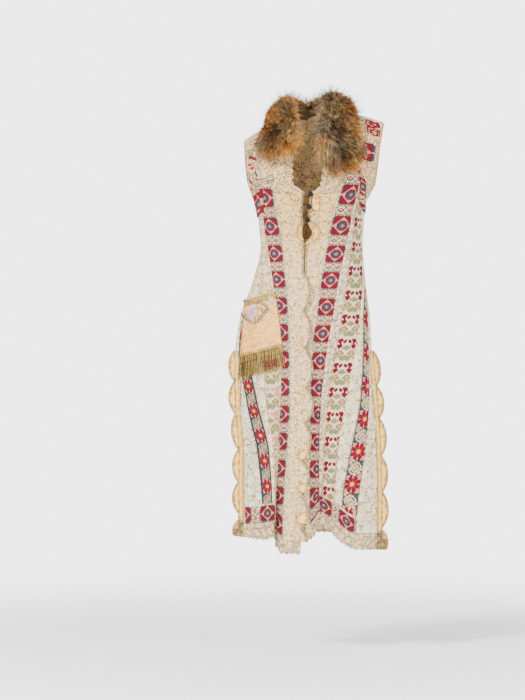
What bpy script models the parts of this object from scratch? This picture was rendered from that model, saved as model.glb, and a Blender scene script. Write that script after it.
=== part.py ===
import math

import bpy
import numpy as np

# Driving sizes, in millimetres
CLOTH = 1.6
RIBBON = 1.0
RIBBON_GAP = 0.5
GAP = 0.3
SEAM = 0.25
OVERLAP_LIFT = 8.0
INSET = 3.2
SCALLOP_DEPTH = 22.0
UNDER_SCALLOP_DEPTH = 4.0
SLIT_SCALLOP_DEPTH = 20.0
SLIT_BORDER_WIDTH = 24.0
FLARE = 0.8
ARMHOLE_CORD_RADIUS = 2.2
BUTTON_RADIUS = 8.0
BUTTON_CORD_RADIUS = 1.2
FRINGE_STRANDS = 44
FRINGE_LENGTH = 68.0
POCKET_OFFSET = 3.6
FUR_CLEARANCE = 7.4
CHEST_Z = -189.0
SIDE_SEAM_Y = 0.25

# Body sections: height, centre, half width, side angle, front depth, back depth
SECTIONS = np.array([
    (0.0, 10.0, 205.0, 62.0, 104.0, 104.0),
    (-86.0, 9.5, 194.5, 63.0, 114.0, 110.0),
    (-189.0, 7.0, 185.0, 79.0, 122.0, 110.0),
    (-234.0, 4.0, 166.0, 90.0, 123.0, 106.0),
    (-278.0, 6.0, 157.0, 90.0, 117.0, 100.0),
    (-367.0, 8.0, 150.0, 90.0, 100.0, 92.0),
    (-485.0, -1.0, 168.0, 90.0, 112.0, 114.0),
    (-574.0, -11.5, 189.5, 90.0, 122.0, 124.0),
    (-678.0, -16.0, 200.0, 80.0, 128.0, 130.0),
    (-826.0, -8.5, 206.5, 74.0, 134.0, 138.0),
    (-974.0, 1.5, 205.5, 70.0, 140.0, 146.0),
    (-1122.0, 3.0, 207.0, 68.0, 146.0, 152.0),
    (-1270.0, 2.0, 208.0, 67.0, 150.0, 156.0),
])

# Left front seams: height, edge, border, band, motif in, motif out, slate in, slate out, side
LEFT_SEAMS = np.array([
    (0.0, 80.0, 104.0, 154.0, 158.0, 163.0, 169.0, 213.0, 219.0),
    (-86.0, 50.0, 110.0, 157.0, 161.0, 166.0, 169.0, 195.0, 204.0),
    (-189.0, 33.0, 95.0, 145.0, 151.0, 163.0, 169.0, 181.0, 192.0),
    (-205.0, 26.0, 91.0, 142.0, 149.0, 161.0, 166.0, 175.0, 184.0),
    (-219.0, 4.0, 87.0, 139.0, 146.0, 159.0, 163.0, 170.0, 177.0),
    (-234.0, 0.0, 82.0, 135.0, 142.0, 157.0, 161.0, 166.0, 170.0),
    (-278.0, -4.0, 68.0, 124.0, 133.0, 154.0, 157.0, 160.0, 163.0),
    (-308.0, -4.0, 62.0, 119.0, 130.0, 153.0, 156.0, 159.0, 161.0),
    (-337.0, 8.0, 56.0, 113.0, 127.0, 152.0, 155.5, 158.0, 159.5),
    (-367.0, -12.0, 50.0, 107.0, 124.0, 151.0, 155.0, 157.0, 158.0),
    (-485.0, -15.0, 30.0, 83.0, 107.0, 155.0, 161.0, 165.0, 167.0),
    (-574.0, -18.0, 19.0, 68.0, 95.0, 147.0, 157.0, 170.0, 178.0),
    (-678.0, -24.0, 6.0, 50.0, 77.0, 133.0, 154.0, 173.0, 184.0),
    (-826.0, -30.0, 0.0, 33.0, 53.0, 107.0, 145.0, 175.0, 198.0),
    (-974.0, -33.0, -3.0, 27.0, 43.0, 83.0, 117.0, 161.0, 207.0),
    (-1122.0, -36.0, -3.0, 27.0, 38.0, 71.0, 93.0, 142.0, 210.0),
    (-1270.0, -36.0, -3.0, 27.0, 37.0, 65.0, 86.0, 130.0, 210.0),
])

# Right front seams, same columns
RIGHT_SEAMS = np.array([
    (0.0, -77.0, -95.0, -133.0, -142.0, -148.0, -154.0, -181.0, -188.0),
    (-86.0, -47.0, -101.0, -139.0, -144.0, -149.0, -155.0, -178.0, -186.0),
    (-189.0, -50.0, -107.0, -150.0, -154.0, -160.0, -165.0, -171.0, -178.0),
    (-205.0, -34.0, -105.0, -147.0, -151.0, -157.0, -161.0, -166.0, -172.0),
    (-219.0, -16.0, -103.0, -144.0, -148.0, -153.0, -157.0, -162.0, -167.0),
    (-234.0, -18.0, -101.0, -142.0, -146.0, -150.0, -154.0, -158.0, -162.0),
    (-278.0, -21.0, -93.0, -136.0, -140.0, -143.0, -146.0, -149.0, -151.0),
    (-308.0, -18.0, -88.0, -131.0, -136.0, -140.0, -143.0, -146.0, -148.0),
    (-337.0, -22.0, -83.0, -127.0, -132.0, -137.0, -140.0, -143.0, -145.0),
    (-367.0, -14.5, -78.0, -122.0, -128.0, -134.0, -138.0, -140.5, -142.0),
    (-485.0, -18.0, -67.0, -105.0, -115.0, -153.0, -161.0, -166.0, -169.0),
    (-574.0, -18.0, -61.0, -90.0, -101.0, -150.0, -182.0, -196.0, -201.0),
    (-678.0, -13.0, -58.0, -80.0, -89.0, -139.0, -178.0, -205.0, -216.0),
    (-826.0, -9.0, -56.0, -84.0, -92.0, -127.0, -151.0, -186.0, -215.0),
    (-974.0, -18.0, -64.0, -90.0, -94.0, -107.0, -117.0, -155.0, -204.0),
    (-1122.0, -24.0, -74.0, -98.0, -101.0, -103.0, -108.0, -139.0, -204.0),
    (-1270.0, -27.0, -80.0, -100.0, -103.0, -105.0, -111.0, -130.0, -206.0),
])

# Left front folds, outward: height, then one value for each seam column
LEFT_FOLDS = np.array([
    (-367.0, 0.0, 0.0, 0.0, 0.0, 0.0, 0.0, 0.0, 0.0),
    (-485.0, 0.0, 0.0, -1.0, -2.0, 1.0, 0.0, 0.0, 0.0),
    (-574.0, 0.0, 0.0, -3.0, -5.0, 2.0, 1.0, 0.0, 0.0),
    (-678.0, 0.0, 0.0, -6.0, -9.0, 1.0, 3.0, 1.0, 0.0),
    (-826.0, 0.0, 0.0, -12.0, -16.0, -4.0, 4.0, 6.0, 0.0),
    (-974.0, 0.0, 0.0, -20.0, -24.0, -8.0, 4.0, 10.0, 2.0),
    (-1122.0, 0.0, 0.0, -28.0, -31.0, -10.0, 5.0, 13.0, 3.0),
    (-1270.0, 0.0, 0.0, -31.0, -34.0, -10.0, 7.0, 15.0, 4.0),
])

# Right front folds, same columns
RIGHT_FOLDS = np.array([
    (-367.0, 0.0, 0.0, 0.0, 0.0, 0.0, 0.0, 0.0, 0.0),
    (-485.0, 0.0, 0.0, -1.0, 0.0, 1.0, 0.0, 0.0, 0.0),
    (-574.0, 0.0, 0.0, -3.0, 0.0, 2.0, 0.0, 0.0, 0.0),
    (-678.0, 0.0, -1.0, -5.0, 1.0, 4.0, 0.0, -2.0, 0.0),
    (-826.0, 0.0, -1.0, -9.0, -2.0, 7.0, 5.0, -4.0, 0.0),
    (-974.0, 0.0, -2.0, -14.0, -6.0, 7.0, 11.0, -3.0, 2.0),
    (-1122.0, 0.0, -2.0, -18.0, -8.0, 3.0, 14.0, 0.0, 4.0),
    (-1270.0, 0.0, -2.0, -19.0, -9.0, 3.0, 14.0, 2.0, 5.0),
])

# Back folds, outward: height, then nine places from the left edge to the right edge
BACK_FOLDS = np.array([
    (-367.0, 0.0, 0.0, 0.0, 0.0, 0.0, 0.0, 0.0, 0.0, 0.0),
    (-574.0, 0.0, 1.0, 2.0, -1.0, 1.0, 2.0, -2.0, 1.0, 0.0),
    (-826.0, 0.0, 5.0, -5.0, 6.0, -4.0, 7.0, -6.0, 3.0, 0.0),
    (-1122.0, 2.0, 11.0, -12.0, 14.0, -11.0, 15.0, -14.0, 8.0, 2.0),
    (-1270.0, 3.0, 13.0, -14.0, 16.0, -13.0, 17.0, -16.0, 10.0, 3.0),
])

# Lower edges at the seam columns: band top, band bottom, lace bottom
LEFT_HEM = np.array([
    (-1130.0, -1125.0, -1102.0, -1106.0, -1122.0, -1140.0, -1168.0, -1172.0),
    (-1190.0, -1186.0, -1149.0, -1153.0, -1169.0, -1187.0, -1213.0, -1216.0),
    (-1222.0, -1229.0, -1197.0, -1190.0, -1212.0, -1234.0, -1256.0, -1262.0),
])
RIGHT_HEM = np.array([
    (-1180.0, -1178.0, -1160.0, -1135.0, -1127.0, -1126.0, -1131.0, -1137.0),
    (-1236.0, -1232.0, -1199.0, -1193.0, -1182.0, -1176.0, -1181.0, -1187.0),
    (-1270.0, -1268.0, -1246.0, -1228.0, -1222.0, -1222.0, -1230.0, -1223.0),
])
BACK_HEM = (-1136.0, -1187.0, -1226.0)

# Seam columns by name, and the number of cells from each one to the next
EDGE, BORDER, BAND, MOTIF_IN, MOTIF_OUT, SLATE_IN, SLATE_OUT, SIDE = range(8)
CELLS = (2, 2, 1, 2, 1, 2, 3)
STARTS = [sum(CELLS[:k]) for k in range(8)]
BACK_CELLS = 14

# Rows above the chest as shares of the way to the shoulder, then rows below it
SHOULDER_ROWS = (1.0, 0.95, 0.84, 0.66, 0.44, 0.21, 0.0)
BODY_ROWS = (-205.0, -219.0, -234.0, -278.0, -308.0, -337.0, -367.0, -426.0, -485.0, -530.0,
             -574.0, -626.0, -678.0, -752.0, -826.0, -900.0, -974.0, -1030.0, -1084.0)

# Shoulder seam height: neck x, neck z, tip x, tip z
LEFT_SHOULDER = (80.0, 38.0, 219.0, -4.0)
RIGHT_SHOULDER = (-77.0, 16.0, -188.0, -56.0)

# Notches between scallops on the front edges, then on the slit edges
LEFT_NOTCHES = (-452.0, -556.0, -662.0, -768.0, -874.0, -980.0, -1086.0, -1186.0)
RIGHT_NOTCHES = (-454.0, -562.0, -672.0, -790.0, -892.0, -999.0, -1103.0, -1199.0, -1262.0)
LEFT_SLIT_NOTCHES = (-680.0, -784.0, -879.0, -989.0, -1095.0, -1199.0)
RIGHT_SLIT_NOTCHES = (-680.0, -770.0, -867.0, -971.0, -1066.0, -1157.0)

# Fur collar, left half: x, y, z, half width, half thickness, up, from the nape to the lobe end
LEFT_FUR = np.array([
    (0.3, 84.0, 26.0, 26.0, 15.0, 1.0),
    (32.0, 76.0, 32.0, 29.0, 17.0, 1.0),
    (62.0, 50.0, 44.0, 33.0, 20.0, 1.2),
    (82.0, 12.0, 52.0, 38.0, 23.0, 1.5),
    (92.0, -36.0, 38.0, 45.0, 24.0, 1.2),
    (96.0, -76.0, 6.0, 54.0, 25.0, 0.7),
    (92.0, -101.0, -34.0, 63.0, 25.0, 0.45),
    (92.0, -119.0, -76.0, 67.0, 24.0, 0.3),
    (98.0, -129.0, -112.0, 58.0, 21.0, 0.15),
    (104.0, -133.0, -140.0, 34.0, 14.0, 0.1),
    (108.0, -134.0, -153.0, 12.0, 6.0, 0.05),
])

# Fur collar, right half, same columns
RIGHT_FUR = np.array([
    (-0.3, 84.0, 26.0, 26.0, 15.0, 1.0),
    (-30.0, 76.0, 28.0, 28.0, 17.0, 1.0),
    (-60.0, 50.0, 34.0, 31.0, 19.0, 1.2),
    (-80.0, 12.0, 38.0, 36.0, 22.0, 1.5),
    (-90.0, -34.0, 24.0, 42.0, 23.0, 1.2),
    (-94.0, -72.0, -6.0, 50.0, 24.0, 0.7),
    (-90.0, -98.0, -38.0, 57.0, 23.0, 0.45),
    (-90.0, -112.0, -66.0, 52.0, 20.0, 0.3),
    (-92.0, -120.0, -88.0, 34.0, 14.0, 0.15),
    (-92.0, -123.0, -100.0, 13.0, 6.0, 0.1),
])

# Buttons: x, z
BUTTONS = ((2.0, -224.0), (-1.5, -261.0), (-6.5, -299.0))

# Pocket corners in the front view: x, z
POCKET_TOP_OUT = (-186.0, -534.0)
POCKET_TOP_IN = (-98.0, -509.0)
POCKET_LOW_OUT = (-200.0, -698.0)
POCKET_LOW_IN = (-78.0, -666.0)
POCKET_TRIM = 18.0

# Material: name, colour, roughness
MATERIALS = {
    "ivory cloth": ((0.80, 0.74, 0.62), 0.9),
    "lace": ((0.72, 0.64, 0.52), 0.95),
    "crimson ribbon": ((0.45, 0.01, 0.04), 0.85),
    "slate ribbon": ((0.12, 0.19, 0.25), 0.85),
    "motif strip": ((0.52, 0.45, 0.24), 0.9),
    "yellow cloth": ((0.86, 0.62, 0.32), 0.85),
    "satin": ((0.80, 0.50, 0.28), 0.5),
    "gold trim": ((0.55, 0.38, 0.12), 0.6),
    "fur": ((0.36, 0.17, 0.06), 0.95),
    "button": ((0.01, 0.012, 0.02), 0.35),
    "applique": ((0.75, 0.55, 0.60), 0.9),
}


def hermite(levels, values, at):
    """Monotone cubic through a table, levels falling; values may have several columns."""
    x = -np.asarray(levels, float)
    v = np.asarray(values, float)
    if v.ndim == 1:
        v = v[:, None]
    h = np.diff(x)[:, None]
    d = np.diff(v, axis=0) / h
    m = np.zeros_like(v)
    m[0] = d[0]
    m[-1] = d[-1]
    for k in range(1, len(x) - 1):
        same = d[k - 1] * d[k] > 0
        both = np.where(same, d[k - 1] + d[k], 1.0)
        m[k] = np.where(same, 2.0 * d[k - 1] * d[k] / both, 0.0)
    p = float(np.clip(-at, x[0], x[-1]))
    k = int(np.clip(np.searchsorted(x, p, side="right") - 1, 0, len(x) - 2))
    t = (p - x[k]) / h[k, 0]
    a = (1 + 2 * t) * (1 - t) ** 2 * v[k] + t * (1 - t) ** 2 * h[k] * m[k]
    b = t * t * (3 - 2 * t) * v[k + 1] + t * t * (t - 1) * h[k] * m[k + 1]
    return a + b


def section(z):
    """Centre, half axis, front depth and back depth of the body at a height."""
    c, half, side, front, back = hermite(SECTIONS[:, 0], SECTIONS[:, 1:], z)
    return c, half / math.sin(math.radians(side)), front, back


def shoulder_z(x, shoulder):
    """Height of the shoulder seam over x."""
    neck_x, neck_z, tip_x, tip_z = shoulder
    t = (x - neck_x) / (tip_x - neck_x)
    return neck_z + (tip_z - neck_z) * min(max(t, -0.3), 1.0)


def bow(share):
    """Depth share between the chest (0) and the shoulder seam (1)."""
    return max(0.0, 1.0 - share ** 2.2) ** 0.6


def skin(x, z, front=True):
    """Depth y of the body's smooth surface at x and nominal height z."""
    c, a, front_depth, back_depth = section(z)
    s = min(max((x - c) / a, -1.0), 1.0)
    round_ = (1.0 - abs(s) ** 2.15) ** (1.0 / 2.15)
    y = (front_depth if front else back_depth) * round_
    return -y if front else y


def spread(values, cells):
    """Insert straight-line values between the named columns."""
    out = [values[0]]
    for k, n in enumerate(cells):
        for j in range(1, n + 1):
            out.append(values[k] + (values[k + 1] - values[k]) * j / n)
    return np.array(out)


def front_grid(seams, folds, hem, shoulder, lift):
    """Points of one front: rows from the shoulder down, columns from the front edge out."""
    rows = []
    for share in SHOULDER_ROWS:
        nominal = CHEST_Z * (1.0 - share)
        xs = spread(hermite(seams[:, 0], seams[:, 1:], nominal), CELLS)
        row = []
        for x in xs:
            z = CHEST_Z + (shoulder_z(x, shoulder) - CHEST_Z) * share
            y = skin(x, nominal) * bow(share)
            row.append((x, min(y, -SIDE_SEAM_Y), z))
        rows.append(row)
    for z in BODY_ROWS:
        rows.append(front_row([z] * (sum(CELLS) + 1), seams, folds, lift))
    for levels in hem:
        rows.append(front_row(spread(levels, CELLS), seams, folds, lift))
    return np.array(rows)


def front_row(levels, seams, folds, lift):
    """One row of a front at the given height in each column."""
    row = []
    for j, z in enumerate(levels):
        x = spread(hermite(seams[:, 0], seams[:, 1:], z), CELLS)[j]
        fold = spread(hermite(folds[:, 0], folds[:, 1:], z), CELLS)[j]
        raised = lift * smooth_step((-z - 400.0) / 90.0) * max(0.0, 1.0 - j / STARTS[BAND])
        y = min(skin(x, z) - fold - raised, -SIDE_SEAM_Y)
        row.append((x, y, z))
    return row


def smooth_step(t):
    """Ease from 0 to 1."""
    t = min(max(t, 0.0), 1.0)
    return t * t * (3.0 - 2.0 * t)


def back_edges(z):
    """Left and right edge x of the back at a height."""
    left = hermite(LEFT_SEAMS[:, 0], LEFT_SEAMS[:, SIDE + 1], z)[0]
    right = hermite(RIGHT_SEAMS[:, 0], RIGHT_SEAMS[:, SIDE + 1], z)[0]
    draw = 10.0 * smooth_step((-z - 574.0) / 150.0)
    return left - draw, right + draw


def back_row(levels):
    """One row of the back at the given height in each column."""
    row = []
    for j, z in enumerate(levels):
        left, right = back_edges(z)
        u = 2.0 * j / BACK_CELLS - 1.0
        share = 0.5 - 0.5 * math.sin(u * math.pi / 2.0)
        x = right + (left - right) * share
        places = np.linspace(0.0, 1.0, BACK_FOLDS.shape[1] - 1)
        fold = np.interp(j / BACK_CELLS, places, hermite(BACK_FOLDS[:, 0], BACK_FOLDS[:, 1:], z))
        y = skin(x, z, front=False) + fold
        row.append((x, max(y, SIDE_SEAM_Y), z))
    return row


def back_grid():
    """Points of the back: rows from the shoulder down, columns from the left side to the right."""
    rows = []
    for share in SHOULDER_ROWS:
        nominal = CHEST_Z * (1.0 - share)
        row = []
        for j in range(BACK_CELLS + 1):
            left, right = back_edges(nominal)
            u = 2.0 * j / BACK_CELLS - 1.0
            x = right + (left - right) * (0.5 - 0.5 * math.sin(u * math.pi / 2.0))
            near = smooth_step((abs(x - 1.5) - 30.0) / 50.0)
            top = share * (0.86 + 0.14 * near)
            high = shoulder_z(x, LEFT_SHOULDER if x > 1.5 else RIGHT_SHOULDER)
            z = CHEST_Z + (high - CHEST_Z) * top
            y = skin(x, CHEST_Z * (1.0 - top), front=False) * bow(top)
            row.append((x, max(y, SIDE_SEAM_Y), z))
        rows.append(row)
    for z in BODY_ROWS:
        rows.append(back_row([z] * (BACK_CELLS + 1)))
    for z in BACK_HEM:
        rows.append(back_row([z] * (BACK_CELLS + 1)))
    return np.array(rows)


def unit(v):
    """Vectors of length one."""
    n = np.linalg.norm(v, axis=-1, keepdims=True)
    return v / np.where(n < 1e-9, 1.0, n)


def mitre_normals(grid, outward):
    """Vertex normals of a grid, lengthened at creases so that offsets stay parallel."""
    rows, cols = grid.shape[:2]
    across = np.diff(grid, axis=1)
    down = np.diff(grid, axis=0)
    face = unit(np.cross(across[:-1] + across[1:], down[:, :-1] + down[:, 1:]))
    total = np.zeros_like(grid)
    for i in (0, 1):
        for j in (0, 1):
            total[i:rows - 1 + i, j:cols - 1 + j] += face
    mean = unit(total)
    low = np.ones((rows, cols))
    for i in (0, 1):
        for j in (0, 1):
            part = mean[i:rows - 1 + i, j:cols - 1 + j]
            here = np.einsum("abk,abk->ab", part, face)
            view = low[i:rows - 1 + i, j:cols - 1 + j]
            view[:] = np.minimum(view, here)
    mean = mean / np.clip(low, 0.5, 1.0)[:, :, None]
    centre = grid.reshape(-1, 3).mean(axis=0)
    centre[1] = 0.0
    if np.sum(mean * (grid - centre)) < 0:
        mean = -mean
    return mean * outward


def shift_edges(points, inset_top, inset_low, inset_start, inset_end):
    """Draw a grid's four edges inward along its own surface."""
    p = points.copy()
    p[0] += unit(points[1] - points[0]) * inset_top
    p[-1] += unit(points[-2] - points[-1]) * inset_low
    q = p.copy()
    q[:, 0] += unit(p[:, 1] - p[:, 0]) * inset_start
    q[:, -1] += unit(p[:, -2] - p[:, -1]) * inset_end
    return q


def add_object(name, vertices, faces, material):
    """One closed body facing outward, in metres."""
    v = np.asarray(vertices, float) * 0.001
    tri = np.asarray(faces, int)
    a, b, c = v[tri[:, 0]], v[tri[:, 1]], v[tri[:, 2]]
    if np.einsum("ij,ij->i", a, np.cross(b, c)).sum() < 0:
        tri = tri[:, ::-1]
    mesh = bpy.data.meshes.new(name)
    mesh.from_pydata([tuple(p) for p in v], [], [tuple(int(k) for k in f) for f in tri])
    mesh.update()
    obj = bpy.data.objects.new(name, mesh)
    colour, roughness = MATERIALS[material]
    mat = bpy.data.materials.new(name + " " + material)
    mat.use_nodes = True
    shader = mat.node_tree.nodes["Principled BSDF"]
    shader.inputs["Base Color"].default_value = (colour[0], colour[1], colour[2], 1.0)
    shader.inputs["Roughness"].default_value = roughness
    mesh.materials.append(mat)
    PART.objects.link(obj)
    return obj


def wall(name, points, normals, inner, outer, material):
    """A closed sheet between two offsets of a grid."""
    rows, cols = points.shape[:2]
    low = (points + normals * inner).reshape(-1, 3)
    high = (points + normals * outer).reshape(-1, 3)
    n = rows * cols
    faces = []
    for i in range(rows - 1):
        for j in range(cols - 1):
            a, b, c, d = i * cols + j, i * cols + j + 1, (i + 1) * cols + j + 1, (i + 1) * cols + j
            faces += [(a, b, c), (a, c, d), (n + a, n + c, n + b), (n + a, n + d, n + c)]
    rim = [(0, j) for j in range(cols)] + [(i, cols - 1) for i in range(1, rows)]
    rim += [(rows - 1, j) for j in range(cols - 2, -1, -1)] + [(i, 0) for i in range(rows - 2, 0, -1)]
    for k, (i, j) in enumerate(rim):
        a = i * cols + j
        i2, j2 = rim[(k + 1) % len(rim)]
        b = i2 * cols + j2
        faces += [(a, n + a, n + b), (a, n + b, b)]
    return add_object(name, np.vstack((low, high)), faces, material)


def patch(grid, normals, row_from, row_to, col_from, col_to):
    """Part of a grid and its normals."""
    rows = slice(row_from, row_to + 1)
    cols = slice(col_from, col_to + 1)
    return grid[rows, cols].copy(), normals[rows, cols].copy()


def scallop(z, notches):
    """Share of the scallop depth at a height."""
    for high, low in zip(notches[:-1], notches[1:]):
        if low <= z <= high:
            return max(0.0, math.sin(math.pi * (high - z) / (high - low))) ** 0.7
    return 0.0


def fine_levels(notches, top, low, steps):
    """Heights that follow each scallop, between two limits."""
    out = []
    for high, deep in zip(notches[:-1], notches[1:]):
        for k in range(steps):
            out.append(high + (deep - high) * k / steps)
    out.append(notches[-1])
    return [z for z in out if low + 2.0 < z < top - 2.0]


def along(lines, normals, levels):
    """Points on straight-sided column lines at given heights, with all rows kept."""
    cols = lines.shape[1]
    keep = [float(np.mean(lines[i, :, 2])) for i in range(lines.shape[0])]
    marks = sorted(set(keep) | set(z for z in levels if min(abs(z - k) for k in keep) > 4.0), reverse=True)
    points = []
    norms = []
    for z in marks:
        share = np.interp(-z, [-k for k in keep], range(len(keep)))
        k = int(min(share, len(keep) - 2))
        t = share - k
        points.append([lines[k, j] * (1 - t) + lines[k + 1, j] * t for j in range(cols)])
        norms.append([normals[k, j] * (1 - t) + normals[k + 1, j] * t for j in range(cols)])
    return np.array(points), np.array(norms), marks


def tube(name, path, radius, sides, material, closed):
    """A round cord along a path."""
    p = np.asarray(path, float)
    n = len(p)
    if closed:
        tangent = unit(np.roll(p, -1, axis=0) - np.roll(p, 1, axis=0))
    else:
        tangent = unit(np.vstack((p[1:2] - p[:1], p[2:] - p[:-2], p[-1:] - p[-2:-1])))
    up = np.array((0.0, 0.0, 1.0)) if abs(tangent[0][2]) < 0.8 else np.array((1.0, 0.0, 0.0))
    vertices = []
    side = unit(np.cross(tangent[0], up))
    for k in range(n):
        side = unit(side - tangent[k] * np.dot(side, tangent[k]))
        other = np.cross(tangent[k], side)
        for j in range(sides):
            a = 2.0 * math.pi * j / sides
            vertices.append(p[k] + (side * math.cos(a) + other * math.sin(a)) * radius)
    faces = []
    for k in range(n if closed else n - 1):
        shift = best_turn(vertices, sides, n) if closed and k == n - 1 else 0
        for j in range(sides):
            a = k * sides + j
            b = k * sides + (j + 1) % sides
            c = ((k + 1) % n) * sides + (j + 1 + shift) % sides
            d = ((k + 1) % n) * sides + (j + shift) % sides
            faces += [(a, b, c), (a, c, d)]
    if not closed:
        faces += [(0, j + 1, j) for j in range(1, sides - 1)]
        last = (n - 1) * sides
        faces += [(last, last + j, last + j + 1) for j in range(1, sides - 1)]
    return add_object(name, vertices, faces, material)


def best_turn(vertices, sides, count):
    """Turn that lines the last ring of a closed cord up with the first."""
    first = vertices[:sides]
    last = vertices[(count - 1) * sides:]
    costs = []
    for s in range(sides):
        costs.append(sum(np.linalg.norm(last[j] - first[(j + s) % sides]) for j in range(sides)))
    return int(np.argmin(costs))


def inside(spot):
    """Whether a point lies within the body of the vest, near or behind its walls."""
    x, y, z = spot
    high = shoulder_z(x, LEFT_SHOULDER if x > 1.5 else RIGHT_SHOULDER) + 4.0
    share = (z - CHEST_Z) / (high - CHEST_Z)
    if share >= 1.0:
        return False
    nominal = CHEST_Z * (1.0 - share) if share > 0.0 else z
    closing = bow(share) if share > 0.0 else 1.0
    return skin(x, nominal) * closing < y < skin(x, nominal, front=False) * closing


def fur_half(name, table):
    """Half of the fur collar, a rounded lobe swept from the nape to the chest."""
    p = table[:, :3]
    tangent = unit(np.gradient(p, axis=0))
    tangent[0] = np.array((math.copysign(1.0, table[1, 0]), 0.0, 0.0))
    rings = []
    sides = 14
    for k in range(len(p)):
        x, y, z, wide, thick, up = table[k]
        normal = unit(np.array((x / 110.0, (y - 8.0) / 95.0, up)))
        normal = unit(normal - tangent[k] * np.dot(normal, tangent[k]))
        across = np.cross(tangent[k], normal)
        ring = []
        for j in range(sides):
            a = 2.0 * math.pi * j / sides
            c, s = math.cos(a), math.sin(a)
            w = math.copysign(abs(c) ** 0.85, c) * wide
            h = math.copysign(abs(s) ** 0.85, s) * thick
            spot = p[k] + across * w + normal * h
            while inside(spot - normal * FUR_CLEARANCE):
                spot = spot + normal * 0.5
            ring.append(spot)
        rings.append(ring)
    vertices = [v for ring in rings for v in ring]
    n = len(rings)
    faces = []
    for k in range(n - 1):
        for j in range(sides):
            a = k * sides + j
            b = k * sides + (j + 1) % sides
            faces += [(a, b, b + sides), (a, b + sides, a + sides)]
    first = len(vertices)
    vertices.append(np.mean(rings[0], axis=0))
    vertices.append(np.mean(rings[-1], axis=0) + tangent[-1] * 4.0)
    for j in range(sides):
        faces.append((first, (j + 1) % sides, j))
        last = (n - 1) * sides
        faces.append((first + 1, last + j, last + (j + 1) % sides))
    return add_object(name, vertices, faces, "fur")


def build_front(side, grid, normals, notches, slit_notches, neck_rows):
    """All the cloth of one front."""
    band_top = len(SHOULDER_ROWS) + len(BODY_ROWS)
    band_low = band_top + 1
    lace_low = band_top + 2
    start = STARTS
    body = len(SHOULDER_ROWS)
    row_of = {z: body + k for k, z in enumerate(BODY_ROWS)}

    # Ground panel from the border's seam to the side
    p, n = patch(grid, normals, 0, band_low, start[BORDER], start[SIDE])
    p = shift_edges(p, SEAM, SEAM, SEAM, 0.0)
    wall("front_panel_" + side, p, n, 0.0, CLOTH, "ivory cloth")

    # Crochet lace between the neckline and the panel
    p, n = patch(grid, normals, 0, neck_rows, 0, start[BORDER])
    p = shift_edges(p, SEAM, SEAM, 0.0, SEAM)
    wall("chest_lace_" + side, p, n, 0.0, CLOTH, "lace")

    # Scalloped border down the front edge
    p, n = patch(grid, normals, neck_rows, band_low, 0, start[BORDER])
    top, low = p[0, 0, 2], p[-1, :, 2].max()
    q, m, marks = along(p, n, fine_levels(notches, top, low, 5))
    reach = unit(q[:, 0] - q[:, 1])
    for k, z in enumerate(marks):
        deep = SCALLOP_DEPTH if side == "right" else UNDER_SCALLOP_DEPTH
        q[k, 0] += reach[k] * deep * scallop(z, notches)
    q = shift_edges(q, SEAM, SEAM, 0.0, SEAM)
    wall("front_border_" + side, q, m, 0.0, CLOTH + 0.4, "ivory cloth")

    # Ribbons laid on the panel
    raised = CLOTH + RIBBON_GAP
    first = 5
    p, n = patch(grid, normals, first, band_low, start[BORDER], start[BAND])
    p = shift_edges(p, 4.0, 2.0, INSET, INSET)
    wall("crimson_band_" + side, p, n, raised, raised + RIBBON, "crimson ribbon")
    motif_rows = (row_of[-278.0], band_top) if side == "left" else (row_of[-752.0], row_of[-974.0])
    p, n = patch(grid, normals, motif_rows[0], motif_rows[1], start[MOTIF_IN], start[MOTIF_OUT])
    p = shift_edges(p, 4.0, 8.0, INSET if side == "left" else 8.0, INSET)
    clear = raised if side == "left" else raised + 1.2
    wall("motif_strip_" + side, p, n, clear, clear + RIBBON, "motif strip")
    slate_top = row_of[-626.0 if side == "left" else -752.0]
    p, n = patch(grid, normals, slate_top, band_top, start[SLATE_IN], start[SLATE_OUT])
    p = shift_edges(p, 2.0, 3.0, INSET, INSET)
    wall("slate_band_" + side, p, n, raised, raised + RIBBON, "slate ribbon")
    far = SLATE_OUT if side == "left" else SIDE
    p, n = patch(grid, normals, band_top, band_low, start[MOTIF_IN], start[far])
    p = shift_edges(p, 1.0, 2.0, INSET, INSET if side == "left" else 26.0)
    wall("hem_band_" + side, p, n, raised, raised + RIBBON, "crimson ribbon")

    # Lace below the hem
    p, n = patch(grid, normals, band_low, lace_low, 0, start[SIDE])
    middle = p[:1] * 0.5 + p[1:] * 0.5
    p = np.concatenate((p[:1], middle, p[1:]), axis=0)
    n = np.concatenate((n[:1], n[:1] * 0.5 + n[1:] * 0.5, n[1:]), axis=0)
    p[-1, 1::2, 2] -= 5.0
    p = shift_edges(p, 1.6 if side == "right" else 0.8, 0.0, 0.0, 0.0)
    wall("hem_lace_" + side, p, n, 0.0, CLOTH, "lace")

    # Scalloped border beside the slit, laid on the panel's edge
    slit_row = row_of[-678.0]
    slit_border("slit_border_front_" + side, grid, normals, slit_row, band_low, slit_notches, True)


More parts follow.
